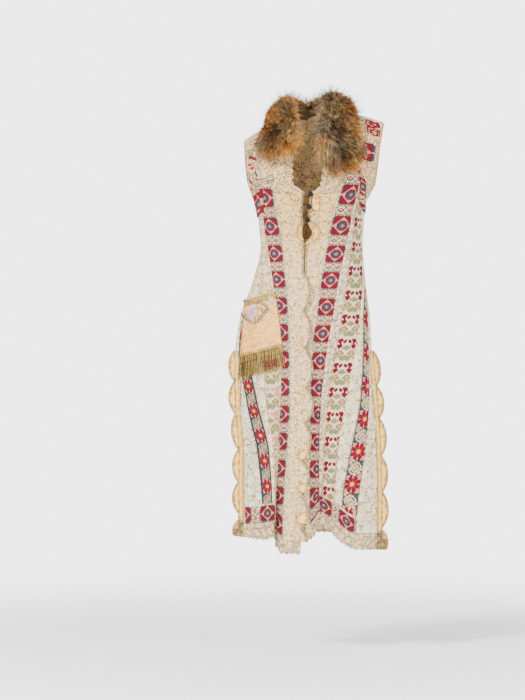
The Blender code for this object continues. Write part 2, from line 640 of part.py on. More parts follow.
def slit_border(name, grid, normals, row_from, row_to, notches, at_end):
    """A scalloped border laid along one edge of a grid and reaching past it."""
    cols = grid.shape[1]
    order = (cols - 1, cols - 2) if at_end else (0, 1)
    edge = grid[row_from:row_to + 1, order[0]]
    inner = grid[row_from:row_to + 1, order[1]]
    inward = unit(inner - edge)
    room = np.linalg.norm(inner - edge, axis=-1)
    width = np.minimum(SLIT_BORDER_WIDTH, room * 0.94)[:, None]
    lines = np.stack((edge, edge + inward * width), axis=1)
    norm_edge = normals[row_from:row_to + 1, order[0]]
    norm_inner = normals[row_from:row_to + 1, order[1]]
    share = width / room[:, None]
    norms = np.stack((norm_edge, norm_edge * (1 - share) + norm_inner * share), axis=1)
    top, low = lines[0, 0, 2], lines[-1, :, 2].max()
    q, m, marks = along(lines, norms, fine_levels(notches, top, low, 5))
    sideways = np.array((math.copysign(1.0, q[0, 0, 0]), 0.0, 0.0))
    reach = unit(unit(q[:, 0] - q[:, 1]) * 0.55 + sideways * FLARE)
    outer = q[:, :1].copy()
    for k, z in enumerate(marks):
        outer[k, 0] += reach[k] * (2.0 + SLIT_SCALLOP_DEPTH * scallop(z, notches))
    q = np.concatenate((outer, q), axis=1)
    m = np.concatenate((m[:, :1], m), axis=1)
    q = shift_edges(q, 2.0, 1.0, 0.0, 0.0)
    raised = CLOTH + 0.8
    wall(name, q, m, raised, raised + RIBBON, "yellow cloth")


def pocket_point(u, v):
    """Place on the right front in the front view, u from the side in, v from the top down."""
    a = np.array(POCKET_TOP_OUT) * (1 - u) + np.array(POCKET_TOP_IN) * u
    b = np.array(POCKET_LOW_OUT) * (1 - u) + np.array(POCKET_LOW_IN) * u
    return a * (1 - v) + b * v


def on_front(grid, normals, x, z, offset):
    """Point at an offset from a front, found at x and z in the front view."""
    heights = grid[:, 0, 2]
    body = range(len(SHOULDER_ROWS), len(SHOULDER_ROWS) + len(BODY_ROWS))
    keys = [-heights[i] for i in body]
    share = float(np.interp(-z, keys, list(body)))
    k = int(min(share, body[-1] - 1))
    t = share - k
    line = grid[k] * (1 - t) + grid[k + 1] * t
    norm = normals[k] * (1 - t) + normals[k + 1] * t
    order = np.argsort(line[:, 0])
    low, high = line[order[0], 0], line[order[-1], 0]
    x = min(max(x, low + 0.6), high - 0.6)
    place = float(np.interp(x, line[order, 0], np.arange(len(order))[order]))
    j = int(min(place, len(order) - 2))
    s = place - j
    point = line[j] * (1 - s) + line[j + 1] * s
    normal = unit(norm[j] * (1 - s) + norm[j + 1] * s)
    return point + normal * offset, normal


def pocket_grid(grid, normals, u_list, v_list, offset):
    """Points and normals of a patch on the pocket."""
    points, norms = [], []
    for v in v_list:
        row, nrow = [], []
        for u in u_list:
            x, z = pocket_point(u, v)
            p, n = on_front(grid, normals, x, z, offset)
            row.append(p)
            nrow.append(n)
        points.append(row)
        norms.append(nrow)
    return np.array(points), np.array(norms)


def build_pocket(grid, normals):
    """Patch pocket, its top trim, its fringe and its two flowers."""
    height = 160.0
    us = np.linspace(0.0, 1.0, 9)
    trim = POCKET_TRIM / height
    p, n = pocket_grid(grid, normals, us, np.linspace(trim, 0.985, 9), POCKET_OFFSET)
    wall("pocket", p, n, 0.0, CLOTH, "satin")
    p, n = pocket_grid(grid, normals, us, (0.0, trim * 0.5, trim - 0.003), POCKET_OFFSET)
    wall("pocket_trim", p, n, 0.0, CLOTH + 1.4, "gold trim")
    for name, u, v, radius in (("pocket_flower", 0.27, 0.12 + trim, 20.0), ("pocket_bud", 0.83, 0.12, 10.0)):
        p, n = pocket_grid(grid, normals, (u,), (v,), POCKET_OFFSET + CLOTH + GAP + (1.6 if v < 0.2 and u > 0.5 else 0.9))
        flower(name, p[0, 0], n[0, 0], radius)
    fringe(grid, normals, us)


def flower(name, centre, normal, radius):
    """A flat applique flower with five petals."""
    side = unit(np.cross(np.array((0.0, 0.0, 1.0)), normal))
    up = np.cross(normal, side)
    points = 20
    low, high = [], []
    for k in range(points):
        a = 2.0 * math.pi * k / points
        r = radius * (0.78 + 0.22 * math.cos(5.0 * a))
        spot = centre + side * math.cos(a) * r + up * math.sin(a) * r
        low.append(spot)
        high.append(spot + normal * 1.0)
    vertices = low + high + [centre, centre + normal * 2.4]
    faces = []
    for k in range(points):
        j = (k + 1) % points
        faces += [(k, j, points + j), (k, points + j, points + k)]
        faces += [(2 * points, j, k), (2 * points + 1, points + k, points + j)]
    add_object(name, vertices, faces, "applique")


def fringe(grid, normals, us):
    """Strands hanging from a narrow strip below the pocket."""
    offset = POCKET_OFFSET + 0.2
    v_top, v_low = 0.99, 1.02
    p, n = pocket_grid(grid, normals, us, (v_top, v_low), offset)
    rows, cols = p.shape[:2]
    vertices = list((p).reshape(-1, 3)) + list((p + n * 2.2).reshape(-1, 3))
    total = rows * cols
    faces = []
    for j in range(cols - 1):
        a, b, c, d = j, j + 1, cols + j + 1, cols + j
        faces += [(a, b, c), (a, c, d), (total + a, total + c, total + b), (total + a, total + d, total + c)]
    rim = list(range(cols)) + list(range(2 * cols - 1, cols - 1, -1))
    for k, a in enumerate(rim):
        b = rim[(k + 1) % len(rim)]
        faces += [(a, total + a, total + b), (a, total + b, b)]
    strip = add_object("pocket_fringe", vertices, faces, "gold trim")
    strands = []
    for s in range(FRINGE_STRANDS):
        u = (s + 0.5) / FRINGE_STRANDS
        sway = 0.006 * math.sin(s * 2.3)
        length = FRINGE_LENGTH * (0.93 + 0.07 * math.sin(s * 1.7))
        strands.append(strand(grid, normals, u, sway, length, offset))
    join(strip, strands)


def strand(grid, normals, u, sway, length, offset):
    """Vertices and faces of one three-sided strand, rooted inside the strip."""
    vertices, faces = [], []
    sections = ((1.008, 1.0), (1.0 + length / 320.0, 1.15), (1.0 + length / 160.0, 0.75))
    for k, (v, size) in enumerate(sections):
        x, z = pocket_point(min(max(u + sway * k, 0.004), 0.996), v)
        centre, normal = on_front(grid, normals, x, z, offset + 1.3 + 0.5 * k)
        side = unit(np.cross(np.array((0.0, 0.0, 1.0)), normal))
        for a in (90.0, 210.0, 330.0):
            c, s = math.cos(math.radians(a)), math.sin(math.radians(a))
            vertices.append(centre + (side * c + normal * s) * 0.75 * size)
    for k in range(2):
        for j in range(3):
            a, b = 3 * k + j, 3 * k + (j + 1) % 3
            faces += [(a, b, b + 3), (a, b + 3, a + 3)]
    faces += [(0, 2, 1), (6, 7, 8)]
    v = np.array(vertices)
    tri = np.array(faces)
    a, b, c = v[tri[:, 0]] - v.mean(0), v[tri[:, 1]] - v.mean(0), v[tri[:, 2]] - v.mean(0)
    if np.einsum("ij,ij->i", a, np.cross(b, c)).sum() < 0:
        tri = tri[:, ::-1]
    return v * 0.001, tri


def join(base, pieces):
    """Fuse closed pieces into a base object with an exact union."""
    mesh = bpy.data.meshes.new("strands")
    vertices, faces = [], []
    for v, tri in pieces:
        start = len(vertices)
        vertices += [tuple(p) for p in v]
        faces += [tuple(int(k) + start for k in f) for f in tri]
    mesh.from_pydata(vertices, [], faces)
    mesh.update()
    cutter = bpy.data.objects.new("strands", mesh)
    cutter.hide_render = True
    cutter.display_type = "WIRE"
    TOOLS.objects.link(cutter)
    step = base.modifiers.new("union", "BOOLEAN")
    step.operation = "UNION"
    step.solver = "EXACT"
    step.object = cutter


def build_buttons(left_grid, right_grid):
    """Ball buttons over the front opening, each on a short cord between the two edges."""
    for k, (x, z) in enumerate(BUTTONS):
        start = edge_spot(right_grid, z, 5.0)
        end = edge_spot(left_grid, z, 5.0)
        cord_y = min(start[1], end[1]) - 0.3
        middle = (x, cord_y, z)
        tube("button_cord_%d" % (k + 1), [start, middle, end], BUTTON_CORD_RADIUS, 6, "lace", False)
        centre = (x, cord_y - BUTTON_CORD_RADIUS - 0.4 - BUTTON_RADIUS, z)
        ball("button_%d" % (k + 1), centre, BUTTON_RADIUS)


def edge_spot(grid, z, inset):
    """Seat for a cord's end on a front border, inset from its edge."""
    first = [float(np.interp(-z, -grid[:, 0, 2], grid[:, 0, k])) for k in (0, 1)]
    second = [float(np.interp(-z, -grid[:, 1, 2], grid[:, 1, k])) for k in (0, 1)]
    share = inset / math.hypot(second[0] - first[0], second[1] - first[1])
    x = first[0] + (second[0] - first[0]) * share
    y = first[1] + (second[1] - first[1]) * share
    return (x, y - (CLOTH + 0.4) - 0.6 - BUTTON_CORD_RADIUS, z)


def ball(name, centre, radius):
    """A round button."""
    rings, sides = 7, 12
    vertices = [(centre[0], centre[1], centre[2] + radius)]
    for i in range(1, rings):
        a = math.pi * i / rings
        for j in range(sides):
            b = 2.0 * math.pi * j / sides
            x = centre[0] + radius * math.sin(a) * math.cos(b)
            y = centre[1] + radius * math.sin(a) * math.sin(b)
            vertices.append((x, y, centre[2] + radius * math.cos(a)))
    vertices.append((centre[0], centre[1], centre[2] - radius))
    last = len(vertices) - 1
    faces = []
    for j in range(sides):
        k = (j + 1) % sides
        faces.append((0, 1 + j, 1 + k))
        for i in range(rings - 2):
            a = 1 + i * sides
            faces += [(a + j, a + sides + j, a + sides + k), (a + j, a + sides + k, a + k)]
        a = 1 + (rings - 2) * sides
        faces.append((a + j, last, a + k))
    add_object(name, vertices, faces, "button")


def build_armhole(name, front, front_normals, back, back_normals):
    """Cord round one armhole, just outside the edges of the front and back."""
    away_f = unit(front[:, -1] - front[:, -2])
    edge_f = front[:, -1] + front_normals[:, -1] * (CLOTH / 2) + away_f * (ARMHOLE_CORD_RADIUS + 0.8)
    away_b = unit(back[:, 0] - back[:, 1])
    edge_b = back[:, 0] + back_normals[:, 0] * (CLOTH / 2) + away_b * (ARMHOLE_CORD_RADIUS + 0.8)
    low = 0.5 * (edge_f[-1] + edge_b[-1]) - np.array((0.0, 0.0, 5.0))
    top = 0.5 * (edge_f[0] + edge_b[0]) + np.array((math.copysign(0.6, edge_f[0][0]), 0.0, 0.4))
    path = [top] + list(edge_f[1:]) + [low] + list(edge_b[:0:-1])
    tube(name, path, ARMHOLE_CORD_RADIUS, 6, "gold trim", True)


def build_back(grid, normals):
    """The back, its hem band, its hem lace and its slit borders."""
    band_top = len(SHOULDER_ROWS) + len(BODY_ROWS)
    last = BACK_CELLS
    p, n = patch(grid, normals, 0, band_top + 1, 0, last)
    p = shift_edges(p, SEAM, SEAM, 0.0, 0.0)
    wall("back_panel", p, n, 0.0, CLOTH, "ivory cloth")
    p, n = patch(grid, normals, band_top, band_top + 1, 1, last - 1)
    p = shift_edges(p, 1.0, 2.0, 2.0, 2.0)
    raised = CLOTH + RIBBON_GAP
    wall("hem_band_back", p, n, raised, raised + RIBBON, "crimson ribbon")
    p, n = patch(grid, normals, band_top + 1, band_top + 2, 0, last)
    middle = p[:1] * 0.5 + p[1:] * 0.5
    p = np.concatenate((p[:1], middle, p[1:]), axis=0)
    n = np.concatenate((n[:1], n[:1] * 0.5 + n[1:] * 0.5, n[1:]), axis=0)
    p[-1, 1::2, 2] -= 5.0
    p = shift_edges(p, SEAM, 0.0, 0.0, 0.0)
    wall("hem_lace_back", p, n, 0.0, CLOTH, "lace")
    slit_row = len(SHOULDER_ROWS) + BODY_ROWS.index(-678.0)
    slit_border("slit_border_back_left", grid, normals, slit_row, band_top + 1, LEFT_SLIT_NOTCHES, False)
    slit_border("slit_border_back_right", grid, normals, slit_row, band_top + 1, RIGHT_SLIT_NOTCHES, True)


for old in list(bpy.data.objects):
    bpy.data.objects.remove(old, do_unlink=True)
PART = bpy.data.collections.new("embroidered folk vest")
TOOLS = bpy.data.collections.new("joining shapes")
bpy.context.scene.collection.children.link(PART)
bpy.context.scene.collection.children.link(TOOLS)
TOOLS.hide_render = True

left = front_grid(LEFT_SEAMS, LEFT_FOLDS, LEFT_HEM, LEFT_SHOULDER, 0.0)
right = front_grid(RIGHT_SEAMS, RIGHT_FOLDS, RIGHT_HEM, RIGHT_SHOULDER, OVERLAP_LIFT)
back = back_grid()
left_normals = mitre_normals(left, 1.0)
right_normals = mitre_normals(right, 1.0)
back_normals = mitre_normals(back, 1.0)

neck = len(SHOULDER_ROWS) + BODY_ROWS.index(-219.0)
build_front("left", left, left_normals, LEFT_NOTCHES, LEFT_SLIT_NOTCHES, neck)
build_front("right", right, right_normals, RIGHT_NOTCHES, RIGHT_SLIT_NOTCHES, neck)
build_back(back, back_normals)
under = len(SHOULDER_ROWS) + BODY_ROWS.index(-205.0) + 1
build_armhole("armhole_cord_left", left[:under], left_normals[:under], back[:under], back_normals[:under])
flip, flip_normals = back[:under, ::-1], back_normals[:under, ::-1]
build_armhole("armhole_cord_right", right[:under], right_normals[:under], flip, flip_normals)
build_pocket(right, right_normals)
build_buttons(left, right)
fur_half("fur_collar_left", LEFT_FUR)
fur_half("fur_collar_right", RIGHT_FUR)
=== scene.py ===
import math

import bpy
import numpy as np
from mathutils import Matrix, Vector


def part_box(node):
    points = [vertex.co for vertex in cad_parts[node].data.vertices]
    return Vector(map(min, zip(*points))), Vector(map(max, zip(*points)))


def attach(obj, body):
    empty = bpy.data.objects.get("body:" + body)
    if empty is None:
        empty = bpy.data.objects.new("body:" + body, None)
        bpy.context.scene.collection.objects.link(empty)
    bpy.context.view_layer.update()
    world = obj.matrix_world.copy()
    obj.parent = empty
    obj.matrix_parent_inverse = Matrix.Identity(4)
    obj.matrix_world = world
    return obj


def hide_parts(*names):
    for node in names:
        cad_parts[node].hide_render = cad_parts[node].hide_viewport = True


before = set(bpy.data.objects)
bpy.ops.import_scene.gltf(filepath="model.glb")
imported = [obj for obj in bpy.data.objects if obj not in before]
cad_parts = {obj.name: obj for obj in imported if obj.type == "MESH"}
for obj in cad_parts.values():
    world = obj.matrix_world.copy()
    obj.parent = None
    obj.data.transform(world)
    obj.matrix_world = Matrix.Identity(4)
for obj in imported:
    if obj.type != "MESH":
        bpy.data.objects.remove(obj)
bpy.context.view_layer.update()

# Camera in metres: distance, side place and height of its level line of sight, and
# the picture's height at the shoulders' plane
CAMERA_DISTANCE = 8.0
CAMERA_X = -0.1376
CAMERA_Z = -0.678
PICTURE_HEIGHT = 700 * 0.00296
SENSOR_WIDTH = 36.0

camera = bpy.data.objects.new("camera", bpy.data.cameras.new("camera"))
bpy.context.scene.collection.objects.link(camera)
camera.location = (CAMERA_X, -CAMERA_DISTANCE, CAMERA_Z)
camera.rotation_euler = (math.radians(90), 0, 0)
camera.data.lens = SENSOR_WIDTH * CAMERA_DISTANCE / PICTURE_HEIGHT
camera.data.clip_end = 60.0
bpy.context.scene.camera = camera

# The vest's own sizes, in millimetres
CHEST_Z = -189.0
OVERLAP_LIFT = 8.0
SCALLOP_DEPTH = 22.0
UNDER_SCALLOP_DEPTH = 4.0
SLIT_SCALLOP_DEPTH = 20.0
SLIT_BORDER_WIDTH = 24.0
FLARE = 0.8
DEEPEST = 1298.0
ROW_STEP = 3.0
LAST_COLUMN = 7.0
BORDER_TOP = -219.0
YOKE_LOW = -236.0
SLIT_TOP = -680.0
BACK_MIDDLE = 1.5
FUR_SPREAD_X = 110.0
FUR_SPREAD_Y = 95.0

# A step of the front view, and its column and row of steps that cross at x 0, z 0
STEP = 2.96
ZERO_COLUMN = 309.0
ZERO_ROW = 121.0

# Body sections: height, centre, half width, side angle, front depth, back depth
SECTIONS = np.array([
    (0.0, 10.0, 205.0, 62.0, 104.0, 104.0),
    (-86.0, 9.5, 194.5, 63.0, 114.0, 110.0),
    (-189.0, 7.0, 185.0, 79.0, 122.0, 110.0),
    (-234.0, 4.0, 166.0, 90.0, 123.0, 106.0),
    (-278.0, 6.0, 157.0, 90.0, 117.0, 100.0),
    (-367.0, 8.0, 150.0, 90.0, 100.0, 92.0),
    (-485.0, -1.0, 168.0, 90.0, 112.0, 114.0),
    (-574.0, -11.5, 189.5, 90.0, 122.0, 124.0),
    (-678.0, -16.0, 200.0, 80.0, 128.0, 130.0),
    (-826.0, -8.5, 206.5, 74.0, 134.0, 138.0),
    (-974.0, 1.5, 205.5, 70.0, 140.0, 146.0),
    (-1122.0, 3.0, 207.0, 68.0, 146.0, 152.0),
    (-1270.0, 2.0, 208.0, 67.0, 150.0, 156.0),
])

# Left front seams: height, edge, border, band, motif in, motif out, slate in, slate out, side
LEFT_SEAMS = np.array([
    (0.0, 80.0, 104.0, 154.0, 158.0, 163.0, 169.0, 213.0, 219.0),
    (-86.0, 50.0, 110.0, 157.0, 161.0, 166.0, 169.0, 195.0, 204.0),
    (-189.0, 33.0, 95.0, 145.0, 151.0, 163.0, 169.0, 181.0, 192.0),
    (-205.0, 26.0, 91.0, 142.0, 149.0, 161.0, 166.0, 175.0, 184.0),
    (-219.0, 4.0, 87.0, 139.0, 146.0, 159.0, 163.0, 170.0, 177.0),
    (-234.0, 0.0, 82.0, 135.0, 142.0, 157.0, 161.0, 166.0, 170.0),
    (-278.0, -4.0, 68.0, 124.0, 133.0, 154.0, 157.0, 160.0, 163.0),
    (-308.0, -4.0, 62.0, 119.0, 130.0, 153.0, 156.0, 159.0, 161.0),
    (-337.0, 8.0, 56.0, 113.0, 127.0, 152.0, 155.5, 158.0, 159.5),
    (-367.0, -12.0, 50.0, 107.0, 124.0, 151.0, 155.0, 157.0, 158.0),
    (-485.0, -15.0, 30.0, 83.0, 107.0, 155.0, 161.0, 165.0, 167.0),
    (-574.0, -18.0, 19.0, 68.0, 95.0, 147.0, 157.0, 170.0, 178.0),
    (-678.0, -24.0, 6.0, 50.0, 77.0, 133.0, 154.0, 173.0, 184.0),
    (-826.0, -30.0, 0.0, 33.0, 53.0, 107.0, 145.0, 175.0, 198.0),
    (-974.0, -33.0, -3.0, 27.0, 43.0, 83.0, 117.0, 161.0, 207.0),
    (-1122.0, -36.0, -3.0, 27.0, 38.0, 71.0, 93.0, 142.0, 210.0),
    (-1270.0, -36.0, -3.0, 27.0, 37.0, 65.0, 86.0, 130.0, 210.0),
])

# Right front seams, same columns
RIGHT_SEAMS = np.array([
    (0.0, -77.0, -95.0, -133.0, -142.0, -148.0, -154.0, -181.0, -188.0),
    (-86.0, -47.0, -101.0, -139.0, -144.0, -149.0, -155.0, -178.0, -186.0),
    (-189.0, -50.0, -107.0, -150.0, -154.0, -160.0, -165.0, -171.0, -178.0),
    (-205.0, -34.0, -105.0, -147.0, -151.0, -157.0, -161.0, -166.0, -172.0),
    (-219.0, -16.0, -103.0, -144.0, -148.0, -153.0, -157.0, -162.0, -167.0),
    (-234.0, -18.0, -101.0, -142.0, -146.0, -150.0, -154.0, -158.0, -162.0),
    (-278.0, -21.0, -93.0, -136.0, -140.0, -143.0, -146.0, -149.0, -151.0),
    (-308.0, -18.0, -88.0, -131.0, -136.0, -140.0, -143.0, -146.0, -148.0),
    (-337.0, -22.0, -83.0, -127.0, -132.0, -137.0, -140.0, -143.0, -145.0),
    (-367.0, -14.5, -78.0, -122.0, -128.0, -134.0, -138.0, -140.5, -142.0),
    (-485.0, -18.0, -67.0, -105.0, -115.0, -153.0, -161.0, -166.0, -169.0),
    (-574.0, -18.0, -61.0, -90.0, -101.0, -150.0, -182.0, -196.0, -201.0),
    (-678.0, -13.0, -58.0, -80.0, -89.0, -139.0, -178.0, -205.0, -216.0),
    (-826.0, -9.0, -56.0, -84.0, -92.0, -127.0, -151.0, -186.0, -215.0),
    (-974.0, -18.0, -64.0, -90.0, -94.0, -107.0, -117.0, -155.0, -204.0),
    (-1122.0, -24.0, -74.0, -98.0, -101.0, -103.0, -108.0, -139.0, -204.0),
    (-1270.0, -27.0, -80.0, -100.0, -103.0, -105.0, -111.0, -130.0, -206.0),
])

# Left front folds, outward: height, then one value for each seam column
LEFT_FOLDS = np.array([
    (-367.0, 0.0, 0.0, 0.0, 0.0, 0.0, 0.0, 0.0, 0.0),
    (-485.0, 0.0, 0.0, -1.0, -2.0, 1.0, 0.0, 0.0, 0.0),
    (-574.0, 0.0, 0.0, -3.0, -5.0, 2.0, 1.0, 0.0, 0.0),
    (-678.0, 0.0, 0.0, -6.0, -9.0, 1.0, 3.0, 1.0, 0.0),
    (-826.0, 0.0, 0.0, -12.0, -16.0, -4.0, 4.0, 6.0, 0.0),
    (-974.0, 0.0, 0.0, -20.0, -24.0, -8.0, 4.0, 10.0, 2.0),
    (-1122.0, 0.0, 0.0, -28.0, -31.0, -10.0, 5.0, 13.0, 3.0),
    (-1270.0, 0.0, 0.0, -31.0, -34.0, -10.0, 7.0, 15.0, 4.0),
])

# Right front folds, same columns
RIGHT_FOLDS = np.array([
    (-367.0, 0.0, 0.0, 0.0, 0.0, 0.0, 0.0, 0.0, 0.0),
    (-485.0, 0.0, 0.0, -1.0, 0.0, 1.0, 0.0, 0.0, 0.0),
    (-574.0, 0.0, 0.0, -3.0, 0.0, 2.0, 0.0, 0.0, 0.0),
    (-678.0, 0.0, -1.0, -5.0, 1.0, 4.0, 0.0, -2.0, 0.0),
    (-826.0, 0.0, -1.0, -9.0, -2.0, 7.0, 5.0, -4.0, 0.0),
    (-974.0, 0.0, -2.0, -14.0, -6.0, 7.0, 11.0, -3.0, 2.0),
    (-1122.0, 0.0, -2.0, -18.0, -8.0, 3.0, 14.0, 0.0, 4.0),
    (-1270.0, 0.0, -2.0, -19.0, -9.0, 3.0, 14.0, 2.0, 5.0),
])

# Back folds, outward: height, then nine places from the left edge to the right edge
BACK_FOLDS = np.array([
    (-367.0, 0.0, 0.0, 0.0, 0.0, 0.0, 0.0, 0.0, 0.0, 0.0),
    (-574.0, 0.0, 1.0, 2.0, -1.0, 1.0, 2.0, -2.0, 1.0, 0.0),
    (-826.0, 0.0, 5.0, -5.0, 6.0, -4.0, 7.0, -6.0, 3.0, 0.0),
    (-1122.0, 2.0, 11.0, -12.0, 14.0, -11.0, 15.0, -14.0, 8.0, 2.0),
    (-1270.0, 3.0, 13.0, -14.0, 16.0, -13.0, 17.0, -16.0, 10.0, 3.0),
])

# Lower edges at the seam columns: band top, band bottom, lace bottom
LEFT_HEM = np.array([
    (-1130.0, -1125.0, -1102.0, -1106.0, -1122.0, -1140.0, -1168.0, -1172.0),
    (-1190.0, -1186.0, -1149.0, -1153.0, -1169.0, -1187.0, -1213.0, -1216.0),
    (-1222.0, -1229.0, -1197.0, -1190.0, -1212.0, -1234.0, -1256.0, -1262.0),
])
RIGHT_HEM = np.array([
    (-1180.0, -1178.0, -1160.0, -1135.0, -1127.0, -1126.0, -1131.0, -1137.0),
    (-1236.0, -1232.0, -1199.0, -1193.0, -1182.0, -1176.0, -1181.0, -1187.0),
    (-1270.0, -1268.0, -1246.0, -1228.0, -1222.0, -1222.0, -1230.0, -1223.0),
])
BACK_HEM = np.array([[-1136.0] * 2, [-1187.0] * 2, [-1226.0] * 2])

# Place of the side edge among the seam columns
SIDE = 7

# Nominal heights where the hem band starts, where it ends and where the lace ends
LAST_LEVEL = -1084.0
BAND_TOP = -1124.0
BAND_LOW = -1184.0
LACE_LOW = -1224.0

# Shoulder seam height: neck x, neck z, tip x, tip z
LEFT_SHOULDER = (80.0, 38.0, 219.0, -4.0)
RIGHT_SHOULDER = (-77.0, 16.0, -188.0, -56.0)

# Notches between scallops on the front edges, then on the slit edges
LEFT_NOTCHES = (-452.0, -556.0, -662.0, -768.0, -874.0, -980.0, -1086.0, -1186.0)
RIGHT_NOTCHES = (
    -454.0, -562.0, -672.0, -790.0, -892.0, -999.0, -1103.0, -1199.0, -1262.0)
LEFT_SLIT_NOTCHES = (-680.0, -784.0, -879.0, -989.0, -1095.0, -1199.0)
RIGHT_SLIT_NOTCHES = (-680.0, -770.0, -867.0, -971.0, -1066.0, -1157.0)

# Creases in the fronts: side, column, height, end column, end height, width, depth
CREASES = (
    ("left", 5.6, -235.0, 3.4, -300.0, 14.0, -3.0),
    ("left", 6.4, -300.0, 3.0, -372.0, 16.0, -2.6),
    ("left", 3.2, -392.0, 6.0, -430.0, 18.0, 2.0),
    ("left", 2.6, -500.0, 2.9, -900.0, 13.0, -3.2),
    ("left", 5.2, -560.0, 4.4, -1080.0, 20.0, 2.4),
    ("left", 6.5, -640.0, 6.2, -1120.0, 16.0, -3.4),
    ("left", 0.6, -330.0, 1.7, -360.0, 12.0, -1.6),
    ("right", 6.2, -215.0, 2.4, -262.0, 15.0, -4.2),
    ("right", 5.8, -245.0, 1.8, -296.0, 13.0, 2.6),
    ("right", 5.4, -330.0, 2.2, -390.0, 17.0, -2.4),
    ("right", 0.5, -300.0, 1.6, -342.0, 12.0, -1.4),
    ("right", 6.4, -700.0, 5.9, -1100.0, 18.0, -3.4),
    ("right", 3.6, -800.0, 4.2, -1060.0, 12.0, 2.0),
    ("back", 0.22, -300.0, 0.42, -372.0, 20.0, -3.0),
    ("back", 0.80, -290.0, 0.58, -380.0, 22.0, -3.0),
    ("back", 0.30, -520.0, 0.27, -1100.0, 24.0, 3.4),
    ("back", 0.63, -560.0, 0.66, -1150.0, 22.0, -3.0),
    ("back", 0.12, -100.0, 0.3, -190.0, 20.0, -2.4),
    ("back", 0.9, -110.0, 0.72, -200.0, 18.0, -2.4),
)

# Fur collar, left half: x, y, z, half width, half thickness, up, from the nape to the lobe end
LEFT_FUR = np.array([
    (0.3, 84.0, 26.0, 26.0, 15.0, 1.0),
    (32.0, 76.0, 32.0, 29.0, 17.0, 1.0),
    (62.0, 50.0, 44.0, 33.0, 20.0, 1.2),
    (82.0, 12.0, 52.0, 38.0, 23.0, 1.5),
    (92.0, -36.0, 38.0, 45.0, 24.0, 1.2),
    (96.0, -76.0, 6.0, 54.0, 25.0, 0.7),
    (92.0, -101.0, -34.0, 63.0, 25.0, 0.45),
    (92.0, -119.0, -76.0, 67.0, 24.0, 0.3),
    (98.0, -129.0, -112.0, 58.0, 21.0, 0.15),
    (104.0, -133.0, -140.0, 34.0, 14.0, 0.1),
    (108.0, -134.0, -153.0, 12.0, 6.0, 0.05),
])

# Fur collar, right half, same columns
RIGHT_FUR = np.array([
    (-0.3, 84.0, 26.0, 26.0, 15.0, 1.0),
    (-30.0, 76.0, 28.0, 28.0, 17.0, 1.0),
    (-60.0, 50.0, 34.0, 31.0, 19.0, 1.2),
    (-80.0, 12.0, 38.0, 36.0, 22.0, 1.5),
    (-90.0, -34.0, 24.0, 42.0, 23.0, 1.2),
    (-94.0, -72.0, -6.0, 50.0, 24.0, 0.7),
    (-90.0, -98.0, -38.0, 57.0, 23.0, 0.45),
    (-90.0, -112.0, -66.0, 52.0, 20.0, 0.3),
    (-92.0, -120.0, -88.0, 34.0, 14.0, 0.15),
    (-92.0, -123.0, -100.0, 13.0, 6.0, 0.1),
])
FUR_CLEARANCE = 7.4
FUR_FRONT = -170.0
HAIRS = {"left": 34000, "right": 30000}
TUFT_COLUMNS = 61

# Fur colours by name
FUR_COLOURS = {
    "orange": (0.479, 0.211, 0.0441),
    "rust": (0.291, 0.113, 0.0252),
    "brown": (0.188, 0.0975, 0.0347),
    "olive": (0.257, 0.17, 0.0693),
    "dark": (0.0642, 0.0324, 0.0126),
    "grey": (0.206, 0.154, 0.0882),
    "buff": (0.445, 0.307, 0.132),
}

# Where each colour lies on the fur: x, z, radius, colour name
FUR_PATCHES = (
    (-86.0, 71.0, 26.0, "orange"),
    (-41.0, 62.0, 26.0, "orange"),
    (-71.0, 27.0, 24.0, "grey"),
    (-33.0, 9.0, 24.0, "orange"),
    (-100.0, 18.0, 24.0, "orange"),
    (-121.0, -27.0, 22.0, "rust"),
    (-100.0, -36.0, 24.0, "dark"),
    (-56.0, -27.0, 24.0, "olive"),
    (-38.0, -56.0, 22.0, "orange"),
    (-139.0, -65.0, 24.0, "grey"),
    (-100.0, -80.0, 24.0, "brown"),
    (-62.0, -86.0, 24.0, "orange"),
    (-127.0, -101.0, 24.0, "orange"),
    (62.0, 83.0, 26.0, "grey"),
    (98.0, 77.0, 24.0, "brown"),
    (124.0, 38.0, 24.0, "rust"),
    (27.0, 27.0, 24.0, "buff"),
    (68.0, 18.0, 26.0, "olive"),
    (107.0, -12.0, 24.0, "brown"),
    (139.0, -33.0, 24.0, "orange"),
    (38.0, -27.0, 24.0, "grey"),
    (77.0, -41.0, 24.0, "dark"),
    (115.0, -71.0, 24.0, "olive"),
    (27.0, -80.0, 24.0, "orange"),
    (56.0, -86.0, 22.0, "grey"),
    (92.0, -101.0, 24.0, "dark"),
    (145.0, -101.0, 24.0, "brown"),
    (62.0, -130.0, 24.0, "brown"),
    (127.0, -145.0, 26.0, "orange"),
    (157.0, -130.0, 20.0, "dark"),
    (0.0, 30.0, 40.0, "grey"),
)

# Heights of the buttons
BUTTONS = (-224.0, -261.0, -299.0)

# Pocket corners in the front view: x, z
POCKET_TOP_OUT = (-186.0, -534.0)
POCKET_TOP_IN = (-98.0, -509.0)
POCKET_LOW_OUT = (-200.0, -698.0)
POCKET_LOW_IN = (-78.0, -666.0)
POCKET_TRIM = 18.0
POCKET_HEIGHT = 160.0
POCKET_OFFSET = 3.6

